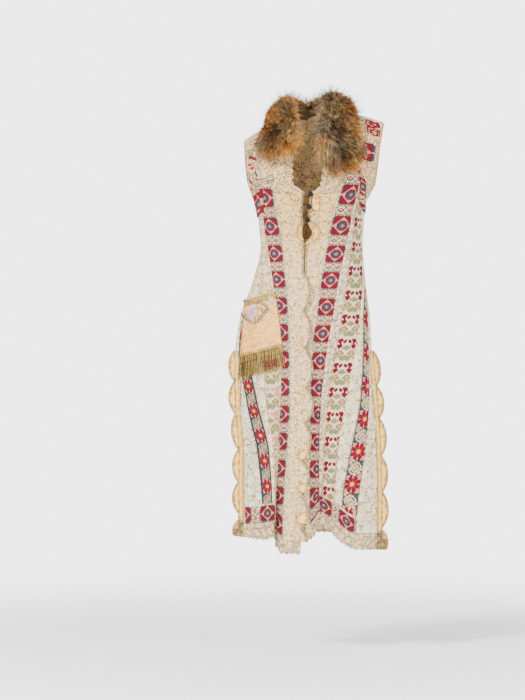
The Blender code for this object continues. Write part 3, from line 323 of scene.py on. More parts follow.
# Thread colours by letter
THREADS = {
    "C": (0.20, 0.001, 0.014),
    "m": (0.42, 0.02, 0.04),
    "P": (0.84, 0.40, 0.24),
    "R": (0.74, 0.17, 0.11),
    "i": (0.78, 0.25, 0.20),
    "S": (0.036, 0.064, 0.090),
    "n": (0.040, 0.055, 0.058),
    "O": (0.76, 0.10, 0.05),
    "W": (0.88, 0.71, 0.48),
    "w": (0.52, 0.44, 0.29),
    "G": (0.11, 0.12, 0.075),
    "K": (0.02, 0.035, 0.035),
    "Y": (0.74, 0.42, 0.06),
    "y": (0.62, 0.45, 0.12),
    "o": (0.30, 0.21, 0.075),
    "s": (0.25, 0.26, 0.105),
    "b": (0.66, 0.52, 0.30),
    "p": (0.82, 0.30, 0.19),
    "M": (0.56, 0.03, 0.09),
}


def monotone(x, v, p):
    """Monotone cubic through rows v at rising places x, for every place in p."""
    x = np.asarray(x, float)
    v = np.asarray(v, float)
    h = np.diff(x)[:, None]
    d = np.diff(v, axis=0) / h
    m = np.zeros_like(v)
    m[0], m[-1] = d[0], d[-1]
    same = d[:-1] * d[1:] > 0
    both = np.where(same, d[:-1] + d[1:], 1.0)
    m[1:-1] = np.where(same, 2.0 * d[:-1] * d[1:] / both, 0.0)
    p = np.clip(np.asarray(p, float), x[0], x[-1])
    k = np.clip(np.searchsorted(x, p, side="right") - 1, 0, len(x) - 2)
    t = ((p - x[k]) / h[k, 0])[:, None]
    a = (1 + 2 * t) * (1 - t) ** 2 * v[k] + t * (1 - t) ** 2 * h[k] * m[k]
    return a + t * t * (3 - 2 * t) * v[k + 1] + t * t * (t - 1) * h[k] * m[k + 1]


def by_height(table, z):
    """Rows of a table at heights z."""
    return monotone(-table[:, 0], table[:, 1:], -np.asarray(z, float))


def unit(v):
    n = np.linalg.norm(v, axis=-1, keepdims=True)
    return v / np.where(n < 1e-9, 1.0, n)


def ease(t):
    t = np.clip(t, 0.0, 1.0)
    return t * t * (3.0 - 2.0 * t)


DENSE = -np.arange(0.0, 1300.0, 1.0)
SECTION_ROWS = by_height(SECTIONS, DENSE)


def skin(x, z, front=True):
    """Depth y of the body's smooth surface at x and height z, for arrays."""
    s = SECTION_ROWS
    place = np.clip(-np.asarray(z, float), 0.0, DEEPEST)
    values = [np.interp(place, -DENSE, s[:, k]) for k in range(5)]
    c, half, side, deep_front, deep_back = values
    a = half / np.sin(np.radians(side))
    u = np.clip(np.abs((x - c) / a), 0.0, 1.0)
    y = (deep_front if front else deep_back) * (1.0 - u ** 2.15) ** (1.0 / 2.15)
    return -y if front else y


def shoulder_z(x, shoulder):
    neck_x, neck_z, tip_x, tip_z = shoulder
    t = np.clip((x - neck_x) / (tip_x - neck_x), -0.3, 1.0)
    return neck_z + (tip_z - neck_z) * t


def bow(share):
    """Depth share between the chest (0) and the shoulder seam (1)."""
    return np.clip(1.0 - np.clip(share, 0.0, 1.0) ** 2.2, 0.0, 1.0) ** 0.6


def ripple(u, v, seed, size):
    """Smooth uneven field of about -1 to 1, with bumps of the given size."""
    rng = np.random.default_rng(seed)
    total = np.zeros(np.broadcast(u, v).shape)
    for _ in range(9):
        a, b = rng.normal(0.0, 1.0, 2) * 2.2 / size
        total = total + np.sin(a * u + b * v + rng.uniform(0.0, 6.28))
    return total / 3.6


def smooth_rows(values, reach):
    """Average each row with its neighbours across the columns."""
    kernel = np.exp(-0.5 * (np.arange(-3 * reach, 3 * reach + 1) / reach) ** 2)
    kernel /= kernel.sum()
    padded = np.pad(values, ((0, 0), (3 * reach, 3 * reach)), mode="edge")
    return np.apply_along_axis(lambda r: np.convolve(r, kernel, mode="valid"), 1, padded)


class Cloth:
    """A front or the back as a smooth surface over a column c and a nominal height v."""

    def __init__(self, side):
        self.side = side
        self.v = -np.arange(0.0, 1225.0, ROW_STEP)
        if side == "back":
            self.c = np.linspace(0.0, 1.0, 121)
            points = self.back_points()
        else:
            self.c = np.linspace(0.0, LAST_COLUMN, 113)
            points = self.front_points()
        down = np.gradient(points, axis=0)
        across = np.gradient(points, axis=1)
        normals = unit(np.cross(across, down))
        if side == "left":
            normals = -normals
        if np.sum(normals[:, :, 1]) > 0 and side != "back":
            normals = -normals
        if np.sum(normals[:, :, 1]) < 0 and side == "back":
            normals = -normals
        wrinkle = self.wrinkles(points)
        self.points = points + normals * wrinkle[:, :, None]
        down = np.gradient(self.points, axis=0)
        across = np.gradient(self.points, axis=1)
        again = unit(np.cross(across, down))
        again = again * np.sign(np.sum(again * normals, axis=2, keepdims=True) + 1e-9)
        self.normals = again

    def front_points(self):
        left = self.side == "left"
        seams = LEFT_SEAMS if left else RIGHT_SEAMS
        folds = LEFT_FOLDS if left else RIGHT_FOLDS
        hem = LEFT_HEM if left else RIGHT_HEM
        shoulder = LEFT_SHOULDER if left else RIGHT_SHOULDER
        lift = 0.0 if left else OVERLAP_LIFT
        seam_x = by_height(seams, DENSE)
        fold_y = by_height(folds, DENSE)
        c_marks = np.arange(8.0)
        x_dense = monotone(c_marks, seam_x.T, self.c).T
        f_dense = smooth_rows(monotone(c_marks, fold_y.T, self.c).T, 3)
        hem_z = monotone(c_marks, hem.T, self.c).T
        z = self.heights(hem_z)
        col = np.arange(len(self.c))[None, :].repeat(len(self.v), axis=0)
        place = np.clip(-z, 0.0, DEEPEST)
        nominal = self.v[:, None].repeat(len(self.c), axis=1)
        place = np.where(nominal > CHEST_Z, -nominal, place)
        low = place.astype(int)
        t = place - low
        x = x_dense[low, col] * (1 - t) + x_dense[low + 1, col] * t
        fold = f_dense[low, col] * (1 - t) + f_dense[low + 1, col] * t
        share = 1.0 - nominal / CHEST_Z
        upper = nominal > CHEST_Z
        z = np.where(upper, CHEST_Z + (shoulder_z(x, shoulder) - CHEST_Z) * share, z)
        y = skin(x, -place)
        y = np.where(upper, y * bow(share), y - fold)
        near_edge = np.clip(1.0 - self.c[None, :] / 2.0, 0.0, 1.0)
        raised = lift * ease((-z - 400.0) / 90.0) * near_edge
        y = np.minimum(y - raised, -0.3)
        return np.stack((x, y, z), axis=2)

    def heights(self, hem_z):
        v = self.v[:, None]
        z = v + 0.0 * hem_z[:1]
        stops = ((LAST_LEVEL, BAND_TOP), (BAND_TOP, BAND_LOW), (BAND_LOW, LACE_LOW))
        before = np.full_like(hem_z[0], LAST_LEVEL)
        for (high, low), target in zip(stops, hem_z):
            t = np.clip((high - v) / (high - low), 0.0, 1.0)
            z = np.where(v < high, before + (target - before) * t, z)
            before = target
        return z

    def back_points(self):
        left_x = by_height(LEFT_SEAMS, DENSE)[:, SIDE]
        right_x = by_height(RIGHT_SEAMS, DENSE)[:, SIDE]
        draw = 10.0 * ease((-DENSE - 574.0) / 150.0)
        folds = by_height(BACK_FOLDS, DENSE)
        f_dense = smooth_rows(monotone(np.linspace(0, 1, 9), folds.T, self.c).T, 4)
        hem_z = np.repeat(BACK_HEM[:, :1], len(self.c), axis=1)
        z = self.heights(hem_z)
        nominal = self.v[:, None].repeat(len(self.c), axis=1)
        place = np.clip(np.where(nominal > CHEST_Z, -nominal, -z), 0.0, DEEPEST)
        edge_l = np.interp(place, -DENSE, left_x - draw)
        edge_r = np.interp(place, -DENSE, right_x + draw)
        u = 2.0 * self.c[None, :] - 1.0
        x = edge_r + (edge_l - edge_r) * (0.5 - 0.5 * np.sin(u * math.pi / 2.0))
        low = place.astype(int)
        col = np.arange(len(self.c))[None, :].repeat(len(self.v), axis=0)
        fold = f_dense[low, col]
        upper = nominal > CHEST_Z
        near = ease((np.abs(x - BACK_MIDDLE) - 30.0) / 50.0)
        top = (1.0 - nominal / CHEST_Z) * (0.86 + 0.14 * near)
        left_z, right_z = shoulder_z(x, LEFT_SHOULDER), shoulder_z(x, RIGHT_SHOULDER)
        high = np.where(x > BACK_MIDDLE, left_z, right_z)
        z = np.where(upper, CHEST_Z + (high - CHEST_Z) * top, z)
        y_top = skin(x, CHEST_Z * (1.0 - top), front=False) * bow(top)
        y_body = skin(x, -place, front=False) + fold
        y = np.maximum(np.where(upper, y_top, y_body), 0.3)
        return np.stack((x, y, z), axis=2)

    def wrinkles(self, points):
        c = self.c[None, :]
        v = self.v[:, None]
        total = np.zeros(points.shape[:2])
        scale = 1.0 / 40.0 if self.side != "back" else 1.0 / 400.0
        for side, c0, v0, c1, v1, width, depth in CREASES:
            if side != self.side:
                continue
            a = np.array((c0 / scale, v0))
            b = np.array((c1 / scale, v1))
            d = b - a
            px, py = c / scale - a[0], v - a[1]
            t = (px * d[0] + py * d[1]) / np.dot(d, d)
            off = np.abs(px * d[1] - py * d[0]) / np.linalg.norm(d)
            fade = ease(t / 0.3) * ease((1.0 - t) / 0.3)
            total += depth * fade * np.exp(-((off / width) ** 2))
        seed = {"left": 3, "right": 5, "back": 7}[self.side]
        total += 0.9 * ripple(c / scale, v * 1.0, seed, 60.0) * ease((-v - 60.0) / 80.0)
        edge = LAST_COLUMN if self.side != "back" else 1.0
        calm = ease((edge - c) / scale / 14.0)
        if self.side == "back":
            calm = calm * ease(c / scale / 14.0)
        return total * calm

    def sample(self, c, v, offset=0.0):
        """Points and normals at columns c and nominal heights v, moved out by offset."""
        c, v, offset = np.broadcast_arrays(np.asarray(c, float), v, offset)
        col = np.clip(c / (self.c[1] - self.c[0]), 0.0, len(self.c) - 1.001)
        row = np.clip(-v / ROW_STEP, 0.0, len(self.v) - 1.001)
        i, j = row.astype(int), col.astype(int)
        t, s = (row - i)[..., None], (col - j)[..., None]
        out = []
        for grid in (self.points, self.normals):
            top = grid[i, j] * (1 - s) + grid[i, j + 1] * s
            low = grid[i + 1, j] * (1 - s) + grid[i + 1, j + 1] * s
            out.append(top * (1 - t) + low * t)
        n = unit(out[1])
        return out[0] + n * offset[..., None], n


CLOTHS = {side: Cloth(side) for side in ("left", "right", "back")}


def build_mesh(name, verts, faces, material, uv=None, colours=None, smooth=True):
    """A mesh object in metres from points in millimetres and lists of equal-sided faces."""
    mesh = bpy.data.meshes.new(name)
    verts = np.asarray(verts, np.float64).reshape(-1, 3) * 0.001
    sizes = np.concatenate([np.full(len(f), f.shape[1]) for f in faces])
    loops = np.concatenate([np.asarray(f).ravel() for f in faces])
    mesh.vertices.add(len(verts))
    mesh.vertices.foreach_set("co", verts.ravel().astype(np.float32))
    mesh.loops.add(len(loops))
    mesh.loops.foreach_set("vertex_index", loops.astype(np.int32))
    mesh.polygons.add(len(sizes))
    starts = np.concatenate(([0], np.cumsum(sizes)[:-1]))
    mesh.polygons.foreach_set("loop_start", starts.astype(np.int32))
    mesh.polygons.foreach_set("loop_total", sizes.astype(np.int32))
    mesh.polygons.foreach_set("use_smooth", np.full(len(sizes), smooth))
    if uv is not None:
        layer = mesh.uv_layers.new(name="cloth")
        layer.data.foreach_set("uv", np.asarray(uv, np.float32)[loops].ravel())
    if colours is not None:
        layer = mesh.color_attributes.new("thread", "FLOAT_COLOR", "POINT")
        full = np.ones((len(verts), 4), np.float32)
        full[:, :3] = colours
        layer.data.foreach_set("color", full.ravel())
    mesh.update()
    mesh.validate()
    mesh.materials.append(material)
    obj = bpy.data.objects.new(name, mesh)
    bpy.context.scene.collection.objects.link(obj)
    return obj


def dress(obj, slot, *nodes):
    """Fix a piece to the vest's one body and hide the solids it stands for; its finish is not used.
    """
    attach(obj, "root")
    if nodes:
        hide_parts(*nodes)
    return obj


def ring_index(rows, sides, first=0):
    """Point numbers of a stack of closed rings, the first column again at the end."""
    index = np.arange(rows * sides).reshape(rows, sides) + first
    return np.concatenate((index, index[:, :1]), axis=1)


def quads(index):
    """Four-sided faces between the point numbers of a grid."""
    corners = (index[:-1, :-1], index[:-1, 1:], index[1:, 1:], index[1:, :-1])
    return np.stack(corners, axis=2).reshape(-1, 4)


def shell(name, points, normals, thick, material, uv, closed=False):
    """A cloth of the given thickness whose outer face is the grid of points."""
    rows, cols = points.shape[:2]
    n = rows * cols
    index = ring_index(rows, cols) if closed else np.arange(n).reshape(rows, cols)
    outer = quads(index)
    i, j = rows // 2, cols // 2
    facing = np.cross(points[i, j - 1] - points[i, j], points[i - 1, j] - points[i, j])
    flipped = np.dot(facing, normals[i, j]) > 0
    if flipped:
        outer = outer[:, ::-1]
    inner = outer[:, ::-1] + n
    if closed:
        rims = [index[0], index[-1, ::-1]]
    else:
        rims = [np.concatenate((index[0], index[1:, -1], index[-1, -2::-1], index[-2::-1, 0]))]
    rim_faces = []
    for r in rims:
        quad = np.stack((r[:-1], r[:-1] + n, r[1:] + n, r[1:]), axis=1)
        rim_faces.append(quad[:, ::-1] if flipped else quad)
    inside_points = points - normals * thick
    verts = np.vstack((points.reshape(-1, 3), inside_points.reshape(-1, 3)))
    uv = np.vstack((uv.reshape(-1, 2), uv.reshape(-1, 2)))
    return build_mesh(name, verts, [outer, inner] + rim_faces, material, uv)


def arc_uv(points):
    """Distances along and across a grid, in centimetres, as its map."""
    across = np.linalg.norm(np.diff(points, axis=1), axis=2).cumsum(axis=1)
    across = np.concatenate((np.zeros((points.shape[0], 1)), across), axis=1)
    down = np.linalg.norm(np.diff(points, axis=0), axis=2).mean(axis=1).cumsum()
    down = np.concatenate(([0.0], down))[:, None] + 0.0 * across
    return np.stack((across, down), axis=2) * 0.1


def grid_size(points):
    """Width, length and area of a grid, in metres."""
    w = np.linalg.norm(np.diff(points, axis=1), axis=2).sum(axis=1).max()
    h = np.linalg.norm(np.diff(points, axis=0), axis=2).sum(axis=0).max()
    a = points[1:, 1:] - points[:-1, :-1]
    b = points[1:, :-1] - points[:-1, 1:]
    area = 0.5 * np.linalg.norm(np.cross(a, b), axis=2).sum()
    return w * 0.001, h * 0.001, area * 1e-6


def sewn(name, points, normals, thick, material, slot, *nodes):
    """A shell of one of the vest's materials, mapped by its own arc lengths."""
    piece = shell(name, points, normals, thick, MATERIAL[material], arc_uv(points))
    return dress(piece, slot, *nodes)


def within(area, w, h):
    """An area as a share of its rectangle that a sheet can have."""
    return min(max(area, 0.301 * w * h), w * h)


def declare(obj, points):
    """Work out a cloth's width, length and area from its grid, without keeping them."""
    w, h, area = grid_size(points)
    area = within(area, w, h)


def declare_round(points):
    """Work out the size and area of a round piece from its rings, the last one being its rim, without
    keeping them.
    """
    rim = points[-1]
    middle = rim.mean(axis=0)
    axes = np.linalg.svd(rim - middle, full_matrices=False)[2]
    w, h = max(np.ptp(rim @ axes[0]), 10.1), max(np.ptp(rim @ axes[1]), 10.1)
    slices = np.cross(rim - middle, np.roll(rim, -1, axis=0) - middle)
    area = within(0.5 * np.linalg.norm(slices, axis=1).sum(), w, h) * 1e-6


def tube(name, path, radius, sides, material, closed=False):
    """A round cord along a path in millimetres, with a map along and around it."""
    p = np.asarray(path, float)
    if closed:
        tangent = unit(np.roll(p, -1, axis=0) - np.roll(p, 1, axis=0))
    else:
        tangent = unit(np.gradient(p, axis=0))
    side = unit(np.cross(tangent[0], (0.31, 0.52, 0.79)))
    rings = []
    for k in range(len(p)):
        side = unit(side - tangent[k] * np.dot(side, tangent[k]))
        other = np.cross(tangent[k], side)
        a = np.arange(sides) * 2 * math.pi / sides
        rings.append(p[k] + (np.outer(np.cos(a), side) + np.outer(np.sin(a), other)) * radius)
    rings = np.array(rings)
    if closed:
        turned = [np.roll(rings[:1], -s, axis=1) for s in range(sides)]
        cost = [np.abs(ring[0] - rings[-1]).sum() for ring in turned]
        rings = np.concatenate((rings, turned[int(np.argmin(cost))]), axis=0)
    index = ring_index(len(rings), sides)
    faces = [quads(index)]
    if not closed:
        faces += [index[:1, :-1][:, ::-1], index[-1:, :-1]]
    steps = np.linalg.norm(np.diff(rings.mean(axis=1), axis=0), axis=1)
    length = np.concatenate(([0.0], steps.cumsum()))[:, None] * 0.1
    around = np.arange(sides)[None, :] / sides
    uv = np.stack(np.broadcast_arrays(around, length), axis=2)
    return build_mesh(name, rings, faces, material, uv.reshape(-1, 2))


class Val:
    """A shader number: arithmetic on it adds Math nodes."""

    def __init__(self, tree, socket):
        self.tree = tree
        self.socket = socket

    def math(self, operation, *others, flipped=False):
        node = self.tree.nodes.new("ShaderNodeMath")
        node.operation = operation
        items = [self, *others]
        if flipped:
            items = items[::-1]
        for k, item in enumerate(items):
            if isinstance(item, Val):
                self.tree.links.new(item.socket, node.inputs[k])
            else:
                node.inputs[k].default_value = item
        return Val(self.tree, node.outputs[0])

    def __add__(self, other):
        return self.math("ADD", other)

    def __radd__(self, other):
        return self.math("ADD", other)

    def __sub__(self, other):
        return self.math("SUBTRACT", other)

    def __rsub__(self, other):
        return self.math("SUBTRACT", other, flipped=True)

    def __mul__(self, other):
        return self.math("MULTIPLY", other)

    def __truediv__(self, other):
        return self.math("DIVIDE", other)

    def abs(self):
        return self.math("ABSOLUTE")

    def frac(self):
        return self.math("FRACT")

    def sin(self):
        return self.math("SINE")

    def top(self, other):
        return self.math("MAXIMUM", other)

    def least(self, other):
        return self.math("MINIMUM", other)

    def step(self, low, high):
        """Smooth rise from 0 at low to 1 at high."""
        node = self.tree.nodes.new("ShaderNodeMapRange")
        node.interpolation_type = "SMOOTHSTEP"
        self.tree.links.new(self.socket, node.inputs["Value"])
        node.inputs["From Min"].default_value = low
        node.inputs["From Max"].default_value = high
        return Val(self.tree, node.outputs["Result"])


class Look:
    """A material under construction, with a Principled shader."""

    def __init__(self, name, roughness, specular):
        self.material = bpy.data.materials.new(name)
        self.material.use_nodes = True
        self.tree = self.material.node_tree
        self.shader = self.tree.nodes["Principled BSDF"]
        self.shader.inputs["Roughness"].default_value = roughness
        self.shader.inputs["Specular IOR Level"].default_value = specular

    def node(self, kind, settings=None, **inputs):
        """Any node: its settings first, then its sockets' values or links."""
        node = self.tree.nodes.new(kind)
        for key, value in (settings or {}).items():
            setattr(node, key, value)
        for key, value in inputs.items():
            socket = node.inputs[key.replace("_", " ")]
            self.feed(socket, value)
        return node

    def feed(self, socket, value):
        if isinstance(value, Val):
            self.tree.links.new(value.socket, socket)
        elif isinstance(value, bpy.types.NodeSocket):
            self.tree.links.new(value, socket)
        elif isinstance(value, tuple) and len(value) == 3 and socket.type == "RGBA":
            socket.default_value = (*value, 1.0)
        else:
            socket.default_value = value

    def uv(self):
        """The cloth's map as two numbers, in centimetres."""
        node = self.node("ShaderNodeUVMap", {"uv_map": "cloth"})
        u, v, _ = self.split(node.outputs[0])
        return u, v, node.outputs[0]

    def noise(self, vector, scale, detail=3.0):
        node = self.node("ShaderNodeTexNoise", Vector=vector, Scale=scale, Detail=detail)
        return Val(self.tree, node.outputs["Fac"])

    def cells(self, vector, scale, feature="F1", randomness=1.0):
        node = self.node("ShaderNodeTexVoronoi", {"feature": feature}, Vector=vector,
                         Scale=scale, Randomness=randomness)
        return Val(self.tree, node.outputs["Distance"])

    def mix(self, share, first, second):
        """Colour between first and second."""
        node = self.tree.nodes.new("ShaderNodeMix")
        node.data_type = "RGBA"
        self.feed(node.inputs[0], share)
        self.feed(node.inputs[6], first)
        self.feed(node.inputs[7], second)
        return node.outputs[2]

    def shade(self, colour, amount):
        """A colour multiplied by a number."""
        node = self.tree.nodes.new("ShaderNodeVectorMath")
        node.operation = "SCALE"
        self.feed(node.inputs[0], colour)
        self.feed(node.inputs["Scale"], amount)
        return node.outputs[0]

    def vector(self, x, y, z=0.0):
        node = self.node("ShaderNodeCombineXYZ")
        for socket, value in zip(node.inputs, (x, y, z)):
            self.feed(socket, value)
        return node.outputs[0]

    def split(self, vector):
        """The three numbers of a vector."""
        node = self.node("ShaderNodeSeparateXYZ", Vector=vector)
        return [Val(self.tree, socket) for socket in node.outputs]

    def finish(self, colour, height=None, strength=0.6, depth=0.0006, alpha=None,
               roughness=None):
        self.feed(self.shader.inputs["Base Color"], colour)
        if height is not None:
            bump = self.node("ShaderNodeBump", Height=height, Strength=strength, Distance=depth)
            self.tree.links.new(bump.outputs[0], self.shader.inputs["Normal"])
        if alpha is not None:
            self.feed(self.shader.inputs["Alpha"], alpha)
        if roughness is not None:
            self.feed(self.shader.inputs["Roughness"], roughness)
        return self.material


def thread_look():
    """Counted stitches: each face's own thread colour, with a painted highlight on the crossed
    strands and painted shade in the gaps between stitches.
    """
    look = Look("cross stitch", 0.8, 0.2)
    u, v, place = look.uv()
    colour = look.node("ShaderNodeVertexColor", {"layer_name": "thread"}).outputs[0]
    fu, fv = u.frac() - 0.5, v.frac() - 0.5
    diagonal = (fu + fv).abs()
    other = (fu - fv).abs()
    strand = 1.0 - diagonal.least(other) * 2.6
    edge = fu.abs().top(fv.abs()).step(0.36, 0.5)
    twist = ((u + v) * 22.0).sin() * 0.12
    tone = look.noise(place, 0.35, 2.0) * 0.34 + 0.84
    height = strand - edge * 0.9 + twist
    # Painted shade in the gaps between stitches and a painted highlight along the crossed strands,
    # times the thread's uneven tone
    shade = (1.0 - edge * 0.5) * tone * (0.86 + strand * 0.16)
    return look.finish(look.shade(colour, shade), height, 0.8, 0.0006)


def rosettes(look, place, scale, petals, randomness):
    """Scattered flowers: share of petal, share of middle, distance, a number for each."""
    node = look.node("ShaderNodeTexVoronoi", Vector=place, Scale=scale, Randomness=randomness)
    offset = look.node("ShaderNodeVectorMath", {"operation": "SUBTRACT"})
    look.tree.links.new(place, offset.inputs[0])
    look.tree.links.new(node.outputs["Position"], offset.inputs[1])
    x, y, _ = look.split(offset.outputs[0])
    far = (x * x + y * y).math("SQRT") * scale
    turn = y.math("ARCTAN2", x)
    reach = (turn * (petals * 0.5)).math("COSINE").abs() * 0.22 + 0.2
    petal = 1.0 - (far - reach).step(-0.03, 0.03)
    middle = 1.0 - far.step(0.06, 0.1)
    return petal, middle, far, look.split(node.outputs["Color"])[0]


def darker(colour, share=0.6):
    return tuple(share * part for part in colour)


def lace_look(name, light, dark, pitch, bloom, order, alpha=False, tint=None,
              hole_size=0.3, wavy=False, calm=0.75, depth=0.6):
    """Crochet: a net of holes of the given pitch with flowers, sizes in centimetres."""
    look = Look(name, 0.92, 0.15)
    u, v, place = look.uv()
    drift = look.noise(place, 0.8, 2.0)
    bent = look.vector(u + drift * 0.5, v + drift * 0.4)
    petal, middle, far, pick = rosettes(look, bent, 1.0 / bloom, 8.0, 0.55)
    holes = look.cells(bent, 1.0 / pitch, "F1", order)
    fine = look.cells(bent, 1.9 / pitch, "F1", 0.9)
    open_net = (1.0 - holes.step(hole_size, hole_size + 0.14)) * (1.0 - petal * calm)
    ring = (far * 26.0).sin() * 0.5 + 0.5
    height = 0.6 + petal * 0.5 + ring * petal * 0.3 - open_net * 0.9 + fine * 0.35
    tone = look.noise(place, 0.28, 4.0).step(0.25, 0.8)
    blotch = look.noise(place, 1.3, 2.0).step(0.5, 0.62)
    soft = tuple(0.62 * a + 0.38 * b for a, b in zip(light, dark))
    base = look.mix(tone, light, soft)
    base = look.mix(fine.step(0.28, 0.6) * depth, base, dark)
    base = look.mix(blotch * 0.22, base, dark)
    # Painted shade in the creases of the puckers: thin dark wavy lines
    if wavy:
        bend = look.noise(place, 0.7, 1.0) * 9.0
        wave = ((u * 4.2 + bend).sin() + (v * 9.0).sin() * 0.3).step(0.86, 1.0)
        base = look.mix(wave * 0.7, base, darker(dark))
    base = look.mix(petal * (1.0 - ring * 0.8) * 0.7, base, light)
    base = look.mix((1.0 - (far - 0.46).abs().step(0.02, 0.07)) * 0.5, base, dark)
    if tint is not None:
        base = look.mix(petal * pick.step(0.55, 0.62) * 0.5, base, tint)
        base = look.mix(middle * 0.6, base, tint)
    # The net's holes are coloured dark: painted shade in the openings
    colour = look.mix(open_net * 0.95, base, darker(dark))
    cut = None
    if alpha:
        cut = 1.0 - (1.0 - holes.step(hole_size * 0.5, hole_size * 0.6)) * (1.0 - petal)
    return look.finish(colour, height, 1.0, 0.0014, cut)


def border_look():
    """Quilted cloth under a cream net, with a print of amber and beige blossoms."""
    look = Look("quilted floral border", 0.88, 0.15)
    u, v, place = look.uv()
    drift = look.noise(place, 0.5, 2.0)
    bent = look.vector(u + drift * 1.1, v + drift * 0.9)
    petal, _, _, pick = rosettes(look, bent, 0.62, 5.0, 0.95)
    small, _, _, choice = rosettes(look, bent, 1.25, 4.0, 1.0)
    vine = 1.0 - ((u * 1.7 + v * 0.7 + drift * 7.0).sin()).abs().step(0.0, 0.16)
    net = look.cells(bent, 1.5, "DISTANCE_TO_EDGE", 0.8)
    thread = 1.0 - net.step(0.05, 0.17)
    grain = look.cells(bent, 2.7, "F1", 1.0)
    quilt = look.cells(bent, 0.9, "SMOOTH_F1", 0.9)
    tone = look.noise(place, 0.35, 4.0).step(0.3, 0.75)
    fall = v.step(0.0, 30.0)
    light = look.mix(fall, (0.95, 0.62, 0.24), (0.96, 0.74, 0.40))
    ground = look.mix(tone, light, look.shade(light, 0.72))
    ground = look.mix(vine * 0.6, ground, (0.22, 0.12, 0.045))
    ground = look.mix(petal * pick.step(0.35, 0.42) * 0.8, ground, (0.40, 0.19, 0.05))
    ground = look.mix(petal * pick.step(0.52, 0.56) * 0.95, ground, (0.62, 0.21, 0.005))
    ground = look.mix(small * choice.step(0.42, 0.48) * 0.85, ground, (0.46, 0.17, 0.01))
    ground = look.mix(grain.step(0.35, 0.7) * 0.4, ground, (0.30, 0.18, 0.07))
    specks_and_highlights = look.noise(bent, 2.0, 1.0)
    ground = look.mix(specks_and_highlights.step(0.55, 0.62) * 0.8, ground, (0.15, 0.08, 0.03))
    colour = look.mix(thread * 0.4, ground, light)
    # Pale specks: painted highlights on the quilted cloth; the dark specks above are the cloth's own
    # colour
    colour = look.mix((1.0 - specks_and_highlights.step(0.34, 0.42)) * 0.6, colour, (0.92, 0.82, 0.64))
    height = thread * 0.5 + quilt * 1.0 - grain * 0.3 + petal * 0.25
    return look.finish(colour, height, 1.0, 0.0018)


def print_look(name, ground, spot):
    """Cotton with a print of blossoms, darker along its inner edge."""
    look = Look(name, 0.86, 0.15)
    u, v, place = look.uv()
    petal, _, _, pick = rosettes(look, place, 0.62, 5.0, 0.6)
    tone = look.noise(place, 0.5, 3.0)
    weave = (u * 78.0).sin() * (v * 78.0).sin()
    soft = look.mix(tone.step(0.3, 0.75), ground, darker(ground, 0.84))
    colour = look.mix(petal * pick.step(0.4, 0.45) * 0.85, soft, spot)
    inner = (1.0 - u.step(0.8, 1.0)) * (0.55 + tone * 0.5)
    colour = look.mix(inner, colour, (0.70, 0.36, 0.08))
    return look.finish(colour, weave * 0.3 + tone * 0.8, 0.6, 0.0008)


def cord_look(name, light, dark):
    """Cord of two strands with four turns to the centimetre, with a painted highlight on the strands'
    crests and painted shade in the grooves.
    """
    look = Look(name, 0.75, 0.2)
    u, v, _ = look.uv()
    twist = ((u * 2.0 + v * 4.0) * 6.2832).sin()
    # Painted highlight on the crests and painted shade in the grooves, from the same twist as the
    # bump
    groove_shade = twist.step(-0.5, 0.7)
    return look.finish(look.mix(groove_shade, dark, light), twist, 0.8, 0.0006)


def satin_look():
    """Peach satin brocade with scrolling leaves."""
    look = Look("peach satin brocade", 0.5, 0.35)
    u, v, place = look.uv()
    drift = look.noise(place, 0.45, 2.0)
    curl = (look.noise(place, 0.6, 1.0) * 19.0 + drift * 5.0).sin()
    leaf = curl.step(0.1, 0.5)
    weft = (v * 60.0).sin() * 0.5 + 0.5
    twill = ((u + v) * 44.0).sin() * 0.5 + 0.5
    colour = look.mix(leaf, (0.96, 0.45, 0.14), (0.66, 0.37, 0.05))
    colour = look.mix(look.noise(place, 0.3, 3.0).step(0.4, 0.7) * 0.5, colour, (0.70, 0.36, 0.06))
    swirl = (look.noise(place, 0.9, 1.0) * 22.0).sin().step(0.5, 0.85)
    colour = look.mix(swirl * 0.7, colour, (0.42, 0.19, 0.02))
    height = leaf * 0.7 + weft * (1.0 - leaf) * 0.3 + twill * leaf * 0.3
    rough = 0.5 - leaf * 0.16
    return look.finish(colour, height, 0.5, 0.0007, roughness=rough)


def braid_look(name, light, dark):
    """Metallic braid with plaited ribs, lighter on the ribs as a painted highlight and lighter in
    uneven patches.
    """
    look = Look(name, 0.45, 0.5)
    u, v, place = look.uv()
    plait = ((u * 6.0).sin() + (v * 14.0).sin()).abs().step(0.1, 1.1)
    tone = look.noise(place, 1.6, 3.0)
    # Lighter on the raised ribs: painted highlight; the noise adds uneven lighter patches
    colour = look.mix(plait * 0.35 + tone.step(0.4, 0.6) * 0.65, dark, light)
    return look.finish(colour, plait + tone * 0.2, 0.8, 0.001)


def fur_look():
    """Long hair: each strand's own colour, darker at its root."""
    look = Look("fur", 0.62, 0.35)
    colour = look.node("ShaderNodeVertexColor", {"layer_name": "thread"}).outputs[0]
    place = look.node("ShaderNodeTexCoord").outputs["Object"]
    tone = look.noise(place, 60.0, 3.0) * 0.7 + 0.65
    return look.finish(look.shade(colour, tone))


def button_look():
    """Wound navy thread over a ball."""
    look = Look("navy button", 0.4, 0.2)
    place = look.node("ShaderNodeTexCoord").outputs["Object"]
    x, _, z = look.split(place)
    wind = ((x * 1.2 + z) * 5200.0).sin()
    tone = look.noise(place, 220.0, 2.0)
    colour = look.mix(tone, (0.002, 0.002, 0.004), (0.007, 0.008, 0.015))
    return look.finish(colour, wind * 0.5 + tone, 0.4, 0.0004)


